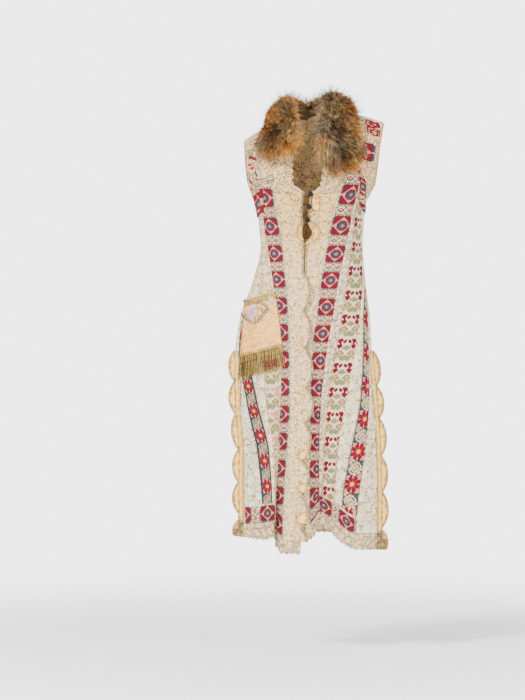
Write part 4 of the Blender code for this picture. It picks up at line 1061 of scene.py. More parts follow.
MATERIAL = {
    "thread": thread_look(),
    "ground": lace_look("cream embroidered ground", (0.95, 0.75, 0.46), (0.36, 0.23, 0.10),
                        0.7, 3.2, 0.7, tint=(0.58, 0.42, 0.13)),
    "crochet": lace_look("beige crochet", (0.90, 0.63, 0.33), (0.20, 0.11, 0.045), 0.74, 3.4,
                         0.45, tint=(0.60, 0.32, 0.11), hole_size=0.27, calm=0.2, depth=0.35),
    "gauze": lace_look("puckered gauze", (0.96, 0.75, 0.50), (0.30, 0.18, 0.085), 0.66, 2.0,
                       0.95, wavy=True, depth=0.4),
    "white lace": lace_look("white lace", (0.97, 0.84, 0.60), (0.36, 0.27, 0.15), 0.8, 3.4,
                            0.85, tint=(0.62, 0.46, 0.16), depth=0.5),
    "sprigged lace": lace_look("sprigged lace", (0.97, 0.85, 0.62), (0.34, 0.27, 0.16), 0.76,
                               3.4, 0.8, tint=(0.36, 0.38, 0.14), depth=0.45),
    "hem lace": lace_look("beige hem lace", (0.86, 0.64, 0.38), (0.20, 0.12, 0.06), 0.72, 2.6,
                          0.4, alpha=True, depth=0.5),
    # Gold lace coloured brown: partly its own colour, partly painted shade
    "shaded gold lace": lace_look("shaded gold corner lace", (0.46, 0.30, 0.12), (0.09, 0.05, 0.02), 0.62,
                            2.2, 0.4, tint=(0.66, 0.42, 0.10)),
    "border": border_look(),
    "yellow": print_look("yellow printed cotton", (1.0, 0.64, 0.17), (0.66, 0.24, 0.005)),
    "cord": cord_look("brown binding cord", (0.40, 0.27, 0.12), (0.12, 0.07, 0.03)),
    "gold cord": cord_look("gold armhole cord", (0.70, 0.44, 0.14), (0.30, 0.17, 0.05)),
    "loops": cord_look("grey lace loops", (0.46, 0.38, 0.32), (0.16, 0.11, 0.09)),
    "satin": satin_look(),
    "braid": braid_look("gold braid", (0.56, 0.33, 0.04), (0.16, 0.09, 0.01)),
    "fringe": braid_look("fringe thread", (0.74, 0.50, 0.08), (0.26, 0.16, 0.02)),
    "dark fringe": braid_look("dark fringe thread", (0.15, 0.09, 0.012), (0.03, 0.02, 0.004)),
    "crimson fringe": braid_look("crimson fringe thread", (0.36, 0.01, 0.03),
                                 (0.12, 0.01, 0.02)),
    "flower": lace_look("lilac crochet flower", (0.80, 0.68, 0.66), (0.46, 0.32, 0.34), 0.34,
                        1.6, 0.6),
    "heart": lace_look("pink crochet middle", (0.86, 0.44, 0.54), (0.62, 0.18, 0.32), 0.3, 1.2,
                       0.6),
    "leaf": lace_look("grey crochet leaf", (0.56, 0.46, 0.38), (0.22, 0.16, 0.12), 0.34, 1.6,
                      0.6),
    "fur": fur_look(),
    "button": button_look(),
}


def mirrored(rows):
    """Full rows of a chart from its right half, the first column being the middle one."""
    return [row[:0:-1] + row for row in rows]


def diamond_block():
    """A blue rosette and a thin light diamond on a crimson square, 17 by 17 stitches."""
    rows = []
    for dy in range(-8, 9):
        row = ""
        for dx in range(-8, 9):
            a, b = abs(dx), abs(dy)
            r, ring = math.hypot(a, b), (a ** 1.12 + b ** 1.12) ** 0.9
            if a >= 7 and b >= 7:
                stitch = "K"
            elif r < 1.2:
                stitch = "R"
            elif r < 3.7:
                stitch = "K" if max(a, b) == 3 and min(a, b) == 1 else "S"
            elif ring < 6.6:
                stitch = "i" if min(a, b) < 2 and r > 4.5 else "C"
            elif ring < 7.5:
                stitch = "P" if (dx + dy) % 3 == 0 else "i"
            else:
                stitch = "C"
            row += stitch
        rows.append(row)
    return rows


def lattice_block():
    """Two coral rosettes in a dull cream and grey-green lattice, 17 by 10 stitches."""
    rows = []
    for dy in range(10):
        row = ""
        for dx in range(-8, 9):
            r = math.hypot(abs(dx) - 4, dy - 4.5)
            if r < 1.2:
                stitch = "R"
            elif r < 2.2:
                stitch = "P" if dx * (dy - 4) % 2 else "K"
            elif r < 3.3:
                stitch = "W"
            elif abs(dx) < 2 and dy in (4, 5):
                stitch = "i"
            elif abs(dx) < 2 and dy in (1, 8):
                stitch = "y"
            else:
                stitch = "G" if (dx + dy) % 3 else "w"
            row += stitch
        rows.append(row)
    return rows


def edged(rows, letter, ground="W"):
    """A chart with the letter on every second row of its edges."""
    out = []
    for k, row in enumerate(rows):
        end = letter if k % 2 or row[1] == "C" else ground
        out.append(end + row[1:-1] + end)
    return out


def flower_block():
    """A crimson flower of eight petals round a gold middle on a pink square, 13 by 13 stitches."""
    rows = []
    for dy in range(-6, 7):
        row = ""
        for dx in range(-6, 7):
            a, b = abs(dx), abs(dy)
            r = math.hypot(a, b)
            petal = 5.7 + 0.9 * abs(math.sin(4.0 * math.atan2(b, a)))
            if r < 1.5:
                stitch = "Y"
            elif r > petal:
                stitch = "i" if r < 7.4 else "P"
            elif min(a, b) == 0 or a == b:
                stitch = "i" if r > 4.4 else "m"
            else:
                stitch = "C"
            row += stitch
        rows.append(row)
    return rows


def leaf_block():
    """A slanting cream leaf in slate corners, with yellow and coral specks, 13 by 12 stitches."""
    rows = []
    for dy in range(12):
        row = ""
        for dx in range(13):
            off = abs(dx - dy)
            edge = 6.0 * math.sin(math.pi * (dx + dy + 3) / 29)
            if off == 0 or (off == 1 and (dx + dy) % 4 == 1):
                stitch = "yyRR"[(dx + dy) // 2 % 4]
            elif off < edge - 1.8:
                stitch = "W" if off % 2 else "G"
            elif off < edge - 0.8:
                stitch = "n"
            elif off < edge + 0.3:
                stitch = "W"
            else:
                stitch = "G" if (dx + 2 * dy) % 5 == 0 else "n"
            row += stitch
        rows.append(row)
    return rows


# Paired crimson sprigs over a pair of olive tulips: right half, middle column first
TULIP = mirrored([
    "....CCCC.",
    ".CC.CCCCC",
    ".CCCCCCCC",
    ".CCC.CCCC",
    "..CC.CCC.",
    ".....CC..",
    "....CCCCC",
    "ss..CCCCC",
    "sss.CCCCC",
    "ssss.CCC.",
    "ssss..CC.",
    "ss.......",
    "....ooo..",
    "...ooyoo.",
    "..ooyyyoo",
    "..ooyRyoo",
    "..oooyooo",
    "ss..oyyo.",
    "ssssooyo.",
    "sssss.yyo",
    "sssss..oo",
    "ossss....",
    ".sss.....",
    ".........",
    ".........",
])
FADED_TULIP = [row.replace("C", "p") for row in TULIP]
CRIMSON_CHART = edged(diamond_block() + lattice_block(), "S")
SLATE_CHART = edged(flower_block() + leaf_block(), "n", "G")
DARK_SLATE_CHART = ["Kn" + row[2:-2].replace("W", "w") + "nK" for row in SLATE_CHART]

# A garland of coral buds, sage leaves and crimson slashes
GARLAND = [
    "..R..w.oo.",
    ".RCR.s.oYo",
    "..R.ss..o.",
    "w...sC....",
    "oo.ssCC...",
    "oYos..CC.w",
    ".o.s...C..",
    "ss.ss.RR..",
    ".C..ssRCRs",
    ".CC..s.R..",
    "w.CC.s..oo",
    "...C.ss.oY",
    ".RR...s..o",
    "RCR..ss...",
]

# Two crimson flowers with slate edges
SHOULDER_FLOWERS = [
    "SWCCCCCCCCiK",
    "SiCCPCCPCCCK",
    "SCCCCCCCCCCK",
    "SCPCCyyCCPCK",
    "SCCCCyyCCCCK",
    "SiCCPCCPCCCK",
    "SWiCCCCCCiWK",
    "WSiiCCCCiiWK",
    "WSCCCiiCCCCK",
    "WSCCPCCPCCCK",
    "WSCCCCCCCCCK",
    "WSCPCyyCPCCK",
    "WSCCCyyCCCCK",
    "WSiCCPCCPCiK",
    "WSWiCCCCCiWK",
]


def stitched(name, cloth, c0, c1, v0, v1, chart, offset, slot, node, sizes, anchor=None,
             ground="W", turned=False):
    """A ribbon of counted stitches from column c0 to c1 and height v0 to v1.

    sizes gives the stitch's size by height, anchor a height and the chart row that lies there,
    and the stitches that would lie past column c1 are left out."""
    wide = len(chart[0])
    t = np.linspace(0.0, 1.0, 1200)
    if turned:
        mid, _ = cloth.sample(c0 + (c1 - c0) * t, (v0 + v1) / 2, offset)
    else:
        mid, _ = cloth.sample((c0 + c1) / 2, v0 + (v1 - v0) * t, offset)
    heights = np.array([z for z, _ in sizes])
    values = np.array([size for _, size in sizes])
    local = np.interp(-mid[:, 2], -heights, values)
    steps = np.linalg.norm(np.diff(mid, axis=0), axis=1) / (0.5 * (local[1:] + local[:-1]))
    count = np.concatenate(([0.0], steps.cumsum()))
    start = 0
    if anchor:
        level, row = anchor
        spot = mid[:, 0] if turned else mid[:, 2]
        here = count[np.argmin(np.abs(spot - level))]
        start = int(round(row - here)) % len(chart)
    rows = max(2, int(count[-1]))
    along = np.interp(np.arange(rows + 1) * count[-1] / rows, count, t)
    if turned:
        across = np.linspace(0.0, 1.0, wide + 1)
        c = (c0 + (c1 - c0) * along)[:, None] + 0.0 * across
        v = (v0 + (v1 - v0) * across)[None, :] + 0.0 * along[:, None]
    else:
        v = (v0 + (v1 - v0) * along)[:, None] + np.zeros(wide + 1)
        ends, _ = cloth.sample(np.array([[c0, 0.5 * (c0 + c1), c1]]), v[:, :1], offset)
        width = np.linalg.norm(np.diff(ends, axis=1), axis=2).sum(axis=1)
        size = np.interp(-ends[:, 1, 2], -heights, values)
        size = np.where(size * wide < width, width / wide, size)
        share = np.clip(np.arange(wide + 1)[None, :] * size[:, None] / width[:, None], 0.0, 1.0)
        c = c0 + (c1 - c0) * share
    points, normals = cloth.sample(c, v, offset)
    obj = stitch_mesh(name, points, normals, chart, start, ground)
    declare(dress(obj, slot, node), points)


def nearest(cloth, x, z):
    """Row and column of the cloth's point that lies nearest to a front-view spot."""
    far = (cloth.points[..., 0] - x) ** 2 + (cloth.points[..., 2] - z) ** 2
    return np.unravel_index(np.argmin(far), far.shape)


def between(corners, s, t):
    """Blend of four corners, clockwise from the top left, at shares s across and t down."""
    shares = (1 - t) * (1 - s), (1 - t) * s, t * s, t * (1 - s)
    return sum(share[..., None] * corner for share, corner in zip(shares, corners))


def quad_grid(cloth, corners, rows, cols, offset):
    """A grid between four spots of the front view, clockwise from the top left."""
    near = [nearest(cloth, x, z) for x, z in corners]
    spots = np.array([(cloth.c[j], cloth.v[i]) for i, j in near])
    s, t = np.meshgrid(np.linspace(0, 1, cols + 1), np.linspace(0, 1, rows + 1))
    place = between(spots, s, t)
    return cloth.sample(place[..., 0], place[..., 1], offset)


def stitched_patch(name, side, corners, chart, offset, slot, rows=None, ground="W"):
    """A patch of counted stitches between four spots of the front view."""
    rows = rows or len(chart)
    points, normals = quad_grid(CLOTHS[side], corners, rows, len(chart[0]), offset)
    declare(dress(stitch_mesh(name, points, normals, chart, 0, ground), slot), points)


def stitch_mesh(name, points, normals, chart, start, ground):
    """Stitches as separate faces on a thin ribbon, each with its thread's colour."""
    rows, cols = points.shape[0] - 1, points.shape[1] - 1
    corners = (points[:-1, :-1], points[:-1, 1:], points[1:, 1:], points[1:, :-1])
    corners = np.stack(corners, axis=2)
    wide = np.linalg.norm(corners[:, :, 1] - corners[:, :, 0], axis=2)
    keep = (wide > 0.3).ravel()
    i, j = np.meshgrid(np.arange(rows), np.arange(cols), indexing="ij")
    across, down = np.stack((j, j + 1, j + 1, j), axis=2), np.stack((i, i, i + 1, i + 1), axis=2)
    uv = np.stack((across, down), axis=3)
    rng = np.random.default_rng(rows * 31 + cols)
    letters = [chart[(a + start) % len(chart)].replace(".", ground) for a in range(rows)]
    tones = rng.uniform(0.84, 1.1, (rows, cols, 1))
    colours = np.array([[THREADS[letter] for letter in line] for line in letters]) * tones
    colours = np.repeat(colours.reshape(-1, 3)[keep], 4, axis=0)
    uv = uv.reshape(-1, 4, 2)[keep].reshape(-1, 2)
    verts = corners.reshape(-1, 4, 3)[keep].reshape(-1, 3)
    faces = np.arange(len(verts)).reshape(-1, 4)
    face_normal = np.cross(verts[1] - verts[0], verts[3] - verts[0])
    flip = np.dot(face_normal, normals[0, 0]) < 0
    back = (points - normals * 0.8).reshape(-1, 3)
    index = np.arange((rows + 1) * (cols + 1)).reshape(rows + 1, cols + 1) + len(verts)
    under = quads(index)[keep]
    if flip:
        faces = faces[:, ::-1]
    else:
        under = under[:, ::-1]
    uv = np.vstack((uv, np.zeros((len(back), 2))))
    plain = np.tile(np.array(THREADS["W"]) * 0.8, (len(back), 1))
    colours = np.vstack((colours, plain))
    verts = np.vstack((verts, back))
    return build_mesh(name, verts, [faces, under], MATERIAL["thread"], uv, colours, smooth=False)


def scallop(v, notches):
    """Share of the scallop depth at each height."""
    out = np.zeros_like(v)
    for high, low in zip(notches[:-1], notches[1:]):
        t = (high - v) / (high - low)
        inside = (t >= 0) & (t <= 1)
        out = np.where(inside, np.clip(np.sin(math.pi * np.clip(t, 0, 1)), 0, 1) ** 0.7, out)
    return out


def inset(cloth, edge, v, distances):
    """Columns at the given distances from an edge column, along the cloth, for each height."""
    toward = 1.0 if edge == 0.0 else -1.0
    c = edge + toward * np.linspace(0.0, 0.3 if cloth.side == "back" else 1.5, 80)
    line, _ = cloth.sample(c[None, :], v[:, None])
    far = np.linalg.norm(np.diff(line, axis=1), axis=2).cumsum(axis=1)
    far = np.concatenate((np.zeros((len(v), 1)), far), axis=1)
    return np.array([np.interp(distances, far[k], c) for k in range(len(v))])


def border_grid(cloth, v0, v1, notches, depth, offset, cells=18):
    """The front border, wider where it bulges, with its outermost column last."""
    v = np.arange(v0, v1, -3.0)
    p0, _ = cloth.sample(0.0, v)
    p1, _ = cloth.sample(1.0, v)
    near, _ = cloth.sample(0.25, v)
    width = np.linalg.norm(p1 - p0, axis=1)
    bulge = depth * scallop(p0[:, 2], notches)
    reach = unit(p0 - near)
    points, normals = [], []
    for k in range(cells + 1):
        d = (width + bulge) * k / cells
        c = np.clip(1.0 - d / width, 0.0, 1.0)
        p, n = cloth.sample(c, v)
        over = np.clip(d - width, 0.0, None)[:, None]
        points.append(p + reach * over)
        normals.append(n)
    points, normals = np.stack(points, axis=1), np.stack(normals, axis=1)
    u, w = np.moveaxis(arc_uv(points) * 10.0, 2, 0)
    puff = 1.7 * ripple(u, w, 11, 15.0) + 0.5 * ripple(u, w, 12, 6.0)
    rim = np.minimum(np.arange(cells + 1), np.arange(cells, -1, -1)) / 3.0
    puff = puff * np.clip(rim, 0.0, 1.0)[None, :]
    return points + normals * (offset + puff)[..., None], normals


# Spans of height of the yellow lobes on the front borders
LOBES = {
    "left": ((-300.0, -372.0),),
    "right": ((-965.0, -1000.0), (-1062.0, -1098.0), (-1146.0, -1186.0)),
}


def border_lobes(side, points, normals):
    """Yellow printed cloth on some of the border's lobes, with a cord inside it."""
    for k, (high, low) in enumerate(LOBES[side]):
        level = points[:, -1, 2]
        rows = np.where((level <= high) & (level >= low))[0]
        part, norm = points[rows], normals[rows]
        t = np.linspace(0.0, 1.0, len(rows))
        reach = np.sin(np.pi * t) ** 0.5 * 0.46 + 0.02
        share = 1.0 - reach[:, None] * (1.0 - np.linspace(0.0, 1.0, 9))[None, :]
        place = share * (part.shape[1] - 1)
        j = np.clip(place.astype(int), 0, part.shape[1] - 2)
        f = (place - j)[..., None]
        r = np.arange(len(rows))[:, None]
        lobe = part[r, j] * (1 - f) + part[r, j + 1] * f
        out = unit(norm[r, j] * (1 - f) + norm[r, j + 1] * f)
        lobe = lobe + out * 0.9
        tag = "%s_%d" % (side, k + 1)
        piece = sewn("border_lobe_" + tag, lobe, out, 0.7, "yellow", "yellow_cloth")
        cord = sewn_cord("lobe_cord_" + tag, lobe[:, 0] + out[:, 0] * 0.3, 0.8)
        declare(piece, lobe)


def sewn_cord(name, line, radius, closed=False):
    """A brown cord sewn down along a line."""
    return dress(tube(name, line, radius, 6, MATERIAL["cord"], closed), "gold_trim")


def edge_cord(name, points, normals, gap, rise, radius):
    """A cord laid along the last column of a grid, a gap inside it."""
    line = points[:, -1] + unit(points[:, -3] - points[:, -1]) * gap + normals[:, -1] * rise
    return sewn_cord(name, line, radius)


def build_border(side):
    cloth = CLOTHS[side]
    notches = RIGHT_NOTCHES if side == "right" else LEFT_NOTCHES
    depth = SCALLOP_DEPTH if side == "right" else UNDER_SCALLOP_DEPTH
    points, normals = border_grid(cloth, BORDER_TOP, BAND_LOW, notches, depth, 1.6)
    piece = sewn("border_" + side, points, normals, 1.4, "border", "ivory_cloth",
                 "front_border_" + side)
    cords = [edge_cord("border_cord_%s_%d" % (side, k + 1), points, normals, gap, 0.7, 1.0)
             for k, gap in enumerate((0.6, 5.2))]
    declare(piece, points)
    border_lobes(side, points, normals)


def build_chest_lace(side):
    cloth = CLOTHS[side]
    v = np.arange(0.0, -222.0, -2.5)[:, None]
    c = np.linspace(0.0, 1.0, 30)[None, :]
    points, normals = cloth.sample(c, v, 1.4)
    wave = np.sin(v[:, 0] * 0.42) * 2.2
    points[:, 0] += unit(points[:, 0] - points[:, 2]) * wave[:, None]
    frill = 2.2 * np.exp(-((c * 7.0) ** 2)) * np.sin(v * 0.4)
    points = points + normals * (ripple(c * 60.0, v, 21, 9.0) + frill)[..., None]
    declare(sewn("chest_crochet_" + side, points, normals, 1.1, "crochet", "lace",
                 "chest_lace_" + side), points)


def build_ground(side):
    cloth = CLOTHS[side]
    v = np.arange(0.0, BAND_LOW - 0.1, -6.0)[:, None]
    c = np.concatenate((np.linspace(1.0, 6.0, 41), np.linspace(6.0, 7.0, 14)[1:]))[None, :]
    points, normals = cloth.sample(c, v, 1.1)
    declare(sewn("ground_" + side, points, normals, 1.0, "ground", "ivory_cloth",
                 "front_panel_" + side), points)


def strip(name, cloth, c0, c1, v0, v1, material, pucker, grain):
    """A strip of lace laid on the ground cloth, with puckers of the given height and size."""
    v = np.arange(v0, v1, -3.0)[:, None]
    ends, _ = cloth.sample(np.array((c0, c1)), (v0 + v1) / 2)
    cells = max(4, int(np.linalg.norm(ends[1] - ends[0]) / 3.5))
    c = np.linspace(c0, c1, cells + 1)[None, :]
    points, normals = cloth.sample(c, v, 1.9)
    rise = pucker * ripple(c * 45.0, v, len(name) + cells, grain)
    edge = np.clip(np.minimum(c - c0, c1 - c) / (c1 - c0) * 6.0, 0.0, 1.0)
    points = points + normals * (np.abs(rise) * edge)[..., None]
    declare(sewn(name, points, normals, 0.6, material, "lace"), points)


def build_hem_lace(side):
    cloth = CLOTHS[side]
    last = LAST_COLUMN if side != "back" else 1.0
    v = np.linspace(BAND_LOW + 8.0, LACE_LOW, 18)[:, None]
    c = np.linspace(0.0, last, 150)[None, :]
    drop = np.clip((BAND_LOW - v) / (BAND_LOW - LACE_LOW), 0.0, 1.0)
    points, normals = cloth.sample(c, v, 2.0 * ease(drop * 5.0) - 1.0)
    arc = arc_uv(points)[..., 0] * 10.0
    picot = np.abs(np.sin(arc * math.pi / 17.0)) * 4.5 * drop
    flute = 3.2 * np.sin(arc * 2 * math.pi / 46.0 + 0.6 * ripple(arc, v, 17, 60.0)) * drop
    points = points + normals * flute[..., None]
    points[..., 2] += 1.5 * drop - picot
    declare(sewn("hem_lace_edge_" + side, points, normals, 0.8, "hem lace", "lace",
                 "hem_lace_" + side), points)


def side_edge(side, back):
    """The front or the back, and its column at the side edge."""
    if back:
        return CLOTHS["back"], 0.0 if side == "left" else 1.0
    return CLOTHS[side], LAST_COLUMN


def slit_grid(side, back, v, wide, bulge):
    """Points from inside a slit edge out over it by the bulge of each height."""
    cloth, edge = side_edge(side, back)
    columns = inset(cloth, edge, v, np.linspace(wide, 0.0, 6))
    p0, n0 = cloth.sample(edge, v)
    near, _ = cloth.sample(inset(cloth, edge, v, [6.0])[:, 0], v)
    sideways = np.array((1.0 if side == "left" else -1.0, 0.0, 0.0))
    reach = unit(-unit(near - p0) * 0.55 + sideways * FLARE)
    inner, inner_normals = cloth.sample(columns, v[:, None])
    share = np.linspace(0.0, 1.0, 8)[1:]
    outer = p0[:, None, :] + reach[:, None, :] * (bulge[:, None] * share)[..., None]
    points = np.concatenate((inner, outer), axis=1)
    normals = np.concatenate((inner_normals, np.repeat(n0[:, None, :], 7, axis=1)), axis=1)
    return points, normals


def build_slit_border(side, which):
    """The yellow scalloped border of one slit edge, its cords, and the gold lace at its foot,
    darkened to brown partly by painted shade.
    """
    back = which == "back"
    cloth, edge = side_edge(side, back)
    notches = RIGHT_SLIT_NOTCHES if side == "right" else LEFT_SLIT_NOTCHES
    v = np.arange(SLIT_TOP, BAND_LOW, -3.0)
    height = cloth.sample(edge, v)[0][:, 2]
    bulge = 2.0 + SLIT_SCALLOP_DEPTH * scallop(height, notches)
    points, normals = slit_grid(side, back, v, SLIT_BORDER_WIDTH, bulge)
    puff = 0.6 * ripple(np.arange(13)[None, :] * 4.0, v[:, None], 31, 14.0)
    points = points + normals * (2.9 + puff)[..., None]
    tag = "%s_%s" % (which, side)
    piece = sewn("slit_edging_" + tag, points, normals, 1.0, "yellow", "yellow_cloth",
                 "slit_border_" + tag)
    cords = [edge_cord("slit_cord_%s_%d" % (tag, k + 1), points[:, :last], normals[:, :last],
                       gap, 0.6, 1.0)
             for k, (last, gap) in enumerate(((13, 0.6), (13, 5.4), (6, 0.4)))]
    cords.append(edge_cord("slit_gimp_" + tag, points[:, ::-1], normals[:, ::-1], 0.4, 0.3, 0.8))
    declare(piece, points)
    v = np.linspace(BAND_LOW + 12.0, LACE_LOW, 18)
    drop = np.linspace(0.0, 1.0, 18)
    points, normals = slit_grid(side, back, v, 20.0, 5.0 + 15.0 * np.sin(np.pi * drop * 0.8))
    arc = arc_uv(points)[..., 0] * 10.0
    points[..., 2] -= 3.0 * np.abs(np.sin(arc * math.pi / 11.0)) * drop[:, None]
    points = points + normals * (4.4 + 1.6 * np.sin(arc * 0.4) * drop[:, None])[..., None]
    # The foot lace's brown is partly painted shade
    declare(sewn("slit_foot_lace_" + tag, points, normals, 0.8, "shaded gold lace", "lace"),
            points)


def build_side_seam(side):
    """A tape inside the side seam, from the armhole down to the slit, that joins front and back."""
    front = CLOTHS[side]
    back, edge = side_edge(side, True)
    v = np.arange(-216.0, -700.0, -6.0)
    gap = np.linalg.norm(front.sample(LAST_COLUMN, v)[0] - back.sample(edge, v)[0], axis=1)
    v = v[(gap < 9.0) | (v > -300.0)]
    halves = []
    sides = (front, LAST_COLUMN, (9.0, 4.5, 0.0)), (back, edge, (0.0, 4.5, 9.0))
    for cloth, c, distances in sides:
        halves.append(cloth.sample(inset(cloth, c, v, distances), v[:, None], -0.7))
    points = np.concatenate((halves[0][0], halves[1][0]), axis=1)
    normals = np.concatenate((halves[0][1], halves[1][1]), axis=1)
    declare(sewn("side_seam_" + side, points, normals, 0.6, "ground", "ivory_cloth"), points)


def build_armhole(side):
    v = np.linspace(-4.0, -224.0, 60)
    edges = []
    for back, near_column in ((False, 6.9), (True, 0.02 if side == "left" else 0.98)):
        cloth, column = side_edge(side, back)
        line, _ = cloth.sample(column, v, 0.8)
        near, _ = cloth.sample(near_column, v, 0.8)
        edges.append(line + unit(line - near) * 2.2)
    edge, other = edges
    low = 0.5 * (edge[-1] + other[-1]) - np.array((0.0, 0.0, 4.0))
    top = 0.5 * (edge[0] + other[0])
    path = np.vstack(([top], edge[1:], [low], other[:0:-1]))
    piece = tube("armhole_binding_" + side, path, 2.1, 8, MATERIAL["gold cord"], closed=True)
    dress(piece, "gold_trim", "armhole_cord_" + side)


# Sizes of the ribbons' stitches by height
RIBBON_SIZES = {
    "left": ((-150.0, 3.6), (-300.0, 3.45), (-400.0, 2.95), (-1200.0, 2.9)),
    "right": ((-150.0, 3.3), (-400.0, 2.95), (-1200.0, 2.9)),
}
TULIP_SIZES = ((-200.0, 2.9), (-1200.0, 2.9))
SLATE_SIZES = {
    "left": ((-600.0, 4.0), (-1200.0, 3.8)),
    "right": ((-600.0, 3.0), (-1200.0, 3.0)),
}


def build_front(side):
    cloth = CLOTHS[side]
    left = side == "left"
    build_ground(side)
    build_chest_lace(side)
    build_border(side)
    anchor, top = ((-315.5, 8.5), -150.0) if left else ((-314.0, 8.5), -196.0)
    stitched("crimson_stitches_" + side, cloth, 1.05, 1.97, top, -1181.0, CRIMSON_CHART, 2.9,
             "crimson_ribbon", "crimson_band_" + side, RIBBON_SIZES[side], anchor)
    edge_lace = "white lace" if left else "sprigged lace"
    for name, c0, c1, top, low, material, pucker, grain in (
        ("shoulder_lace_", 1.0, 6.9, -8.0, YOKE_LOW, "crochet", 0.7, 8.0),
        ("gauze_", 2.0, 3.0, YOKE_LOW, BAND_TOP, "gauze", 2.4, 7.0),
        ("lace_strip_", 4.0, 5.0, -240.0, BAND_TOP, "white lace", 1.2, 9.0),
        ("side_lace_", 6.0, 6.86, -560.0, BAND_LOW, edge_lace, 1.4, 14.0),
    ):
        strip(name + side, cloth, c0, c1, top, low, material, pucker, grain)
    chart, top, low = (TULIP, -250.0, -1120.0) if left else (FADED_TULIP, -752.0, -970.0)
    stitched("tulips_" + side, cloth, 3.04, 3.96, top, low, chart, 2.8, "motif_strip",
             "motif_strip_" + side, TULIP_SIZES, (-725.0 if left else -796.0, 4.0))
    chart, top = (SLATE_CHART, -500.0) if left else (DARK_SLATE_CHART, -590.0)
    stitched("slate_stitches_" + side, cloth, 5.04, 5.96, top, -1121.0, chart, 2.9,
             "slate_ribbon", "slate_band_" + side, SLATE_SIZES[side], (-782.0, 6.0), "S")
    far, middle = (5.96, 104.0) if left else (6.75, -121.0)
    stitched("hem_stitches_" + side, cloth, 2.0, far, BAND_TOP - 2.0, BAND_LOW + 2.0,
             CRIMSON_CHART, 3.4, "crimson_ribbon", "hem_band_" + side,
             ((-1000.0, 3.1), (-1300.0, 3.1)), (middle, 8.5), turned=True)
    build_hem_lace(side)
    build_slit_border(side, "front")
    build_armhole(side)


def spot(column, row):
    """Front-view x and z of a place counted in steps across and down."""
    return (column - ZERO_COLUMN) * STEP, (ZERO_ROW - row) * STEP


def build_scrap(k, side, corners):
    """A small rounded piece of yellow cotton beside the fastening, edged with cord."""
    cloth = CLOTHS[side]
    middle = np.mean(corners, axis=0)
    rings, outs = [], []
    a = np.arange(40) * 2 * math.pi / 40
    co, si = np.cos(a), np.sin(a)
    square = np.sign(co) * np.abs(co) ** 0.6, np.sign(si) * np.abs(si) ** 0.6
    square = np.stack(square, axis=1) * 0.5 + 0.5
    s, t = square[:, 0], 1.0 - square[:, 1]
    p = [np.array(pair) for pair in corners]
    edge = np.outer((1 - s) * (1 - t), p[0]) + np.outer(s * (1 - t), p[1])
    edge = edge + np.outer(s * t, p[2]) + np.outer((1 - s) * t, p[3])
    for r in np.linspace(0.0, 1.0, 6):
        spots = middle + (edge - middle) * r
        places = np.array([locate_fine(cloth, x, z) for x, z in spots])
        points, normals = cloth.sample(places[:, 0], places[:, 1], 3.3)
        rings.append(points)
        outs.append(normals)
    points, normals = np.array(rings), np.array(outs)
    uv = points[..., [0, 2]] * 0.1
    piece = shell("yellow_scrap_%d" % (k + 1), points, normals, 0.8, MATERIAL["yellow"], uv,
                  closed=True)
    dress(piece, "yellow_cloth")
    declare_round(points)
    sewn_cord("scrap_cord_%d" % (k + 1), points[-1] + normals[-1] * 0.2, 0.8, closed=True)


def locate_fine(cloth, x, z):
    """Column and nominal height of a front-view spot, between the grid's points."""
    i, j = nearest(cloth, x, z)
    i, j = min(max(i, 1), len(cloth.v) - 2), min(max(j, 1), len(cloth.c) - 2)
    here = cloth.points[i, j][[0, 2]]
    east = (cloth.points[i, j + 1] - cloth.points[i, j - 1])[[0, 2]] / 2
    south = (cloth.points[i + 1, j] - cloth.points[i - 1, j])[[0, 2]] / 2
    a, b = np.linalg.solve(np.stack((east, south), axis=1), np.array((x, z)) - here)
    a, b = np.clip(a, -1.0, 1.0), np.clip(b, -1.0, 1.0)
    c = np.clip(cloth.c[j] + a * (cloth.c[1] - cloth.c[0]), cloth.c[0], cloth.c[-1])
    return c, cloth.v[i] - ROW_STEP * b


def build_patches():
    """Embroidered scraps on the shoulders and the chest, and yellow edges at the fastening."""
    def quad(*pairs):
        return [spot(*pair) for pair in pairs]

    for name, side, corners, chart, offset, slot, rows, ground in (
        ("shoulder_flowers", "left", quad((364, 121), (378, 124), (379, 138), (366, 136)),
         SHOULDER_FLOWERS, 3.4, "crimson_ribbon", None, "W"),
        ("shoulder_diamond", "left", quad((359, 143), (375, 147), (372, 164), (357, 160)),
         CRIMSON_CHART[:17], 3.4, "crimson_ribbon", None, "W"),
        ("side_scrap_left", "left", quad((356, 178), (363, 181), (366, 214), (360, 210)),
         [row[4:13] for row in CRIMSON_CHART], 4.4, "crimson_ribbon", 34, "W"),
        ("side_scrap_right", "right", quad((254, 196), (264, 192), (265, 213), (257, 218)),
         [row[3:14] for row in CRIMSON_CHART[:17]], 4.2, "crimson_ribbon", None, "W"),
        ("garland", "right", quad((248, 146), (263, 147), (262, 190), (251, 191)),
         GARLAND, 3.4, "motif_strip", 28, "b"),
        ("dotted_scrap", "right", quad((256, 187), (273, 177), (274, 184), (257, 195)),
         [row[:10] for row in lattice_block()], 3.6, "slate_ribbon", None, "W"),
        ("crimson_scrap", "right", quad((269, 152), (274, 153), (273, 164), (270, 165)),
         ["CCC", "KCC", "KKC", "KCC"], 3.6, "crimson_ribbon", None, "W"),
    ):
        stitched_patch(name, side, corners, chart, offset, slot, rows, ground)
    for k, (side, corners) in enumerate((
        ("left", quad((311.5, 197), (319, 197), (318.5, 214), (310.5, 212))),
        ("left", quad((308, 242), (313, 226), (315, 228), (309, 249))),
        ("right", quad((298, 225), (302, 228), (304, 244), (296.5, 240))),
        ("right", quad((289, 196), (298, 198), (299, 203), (292, 203))),
    )):
        build_scrap(k, side, corners)


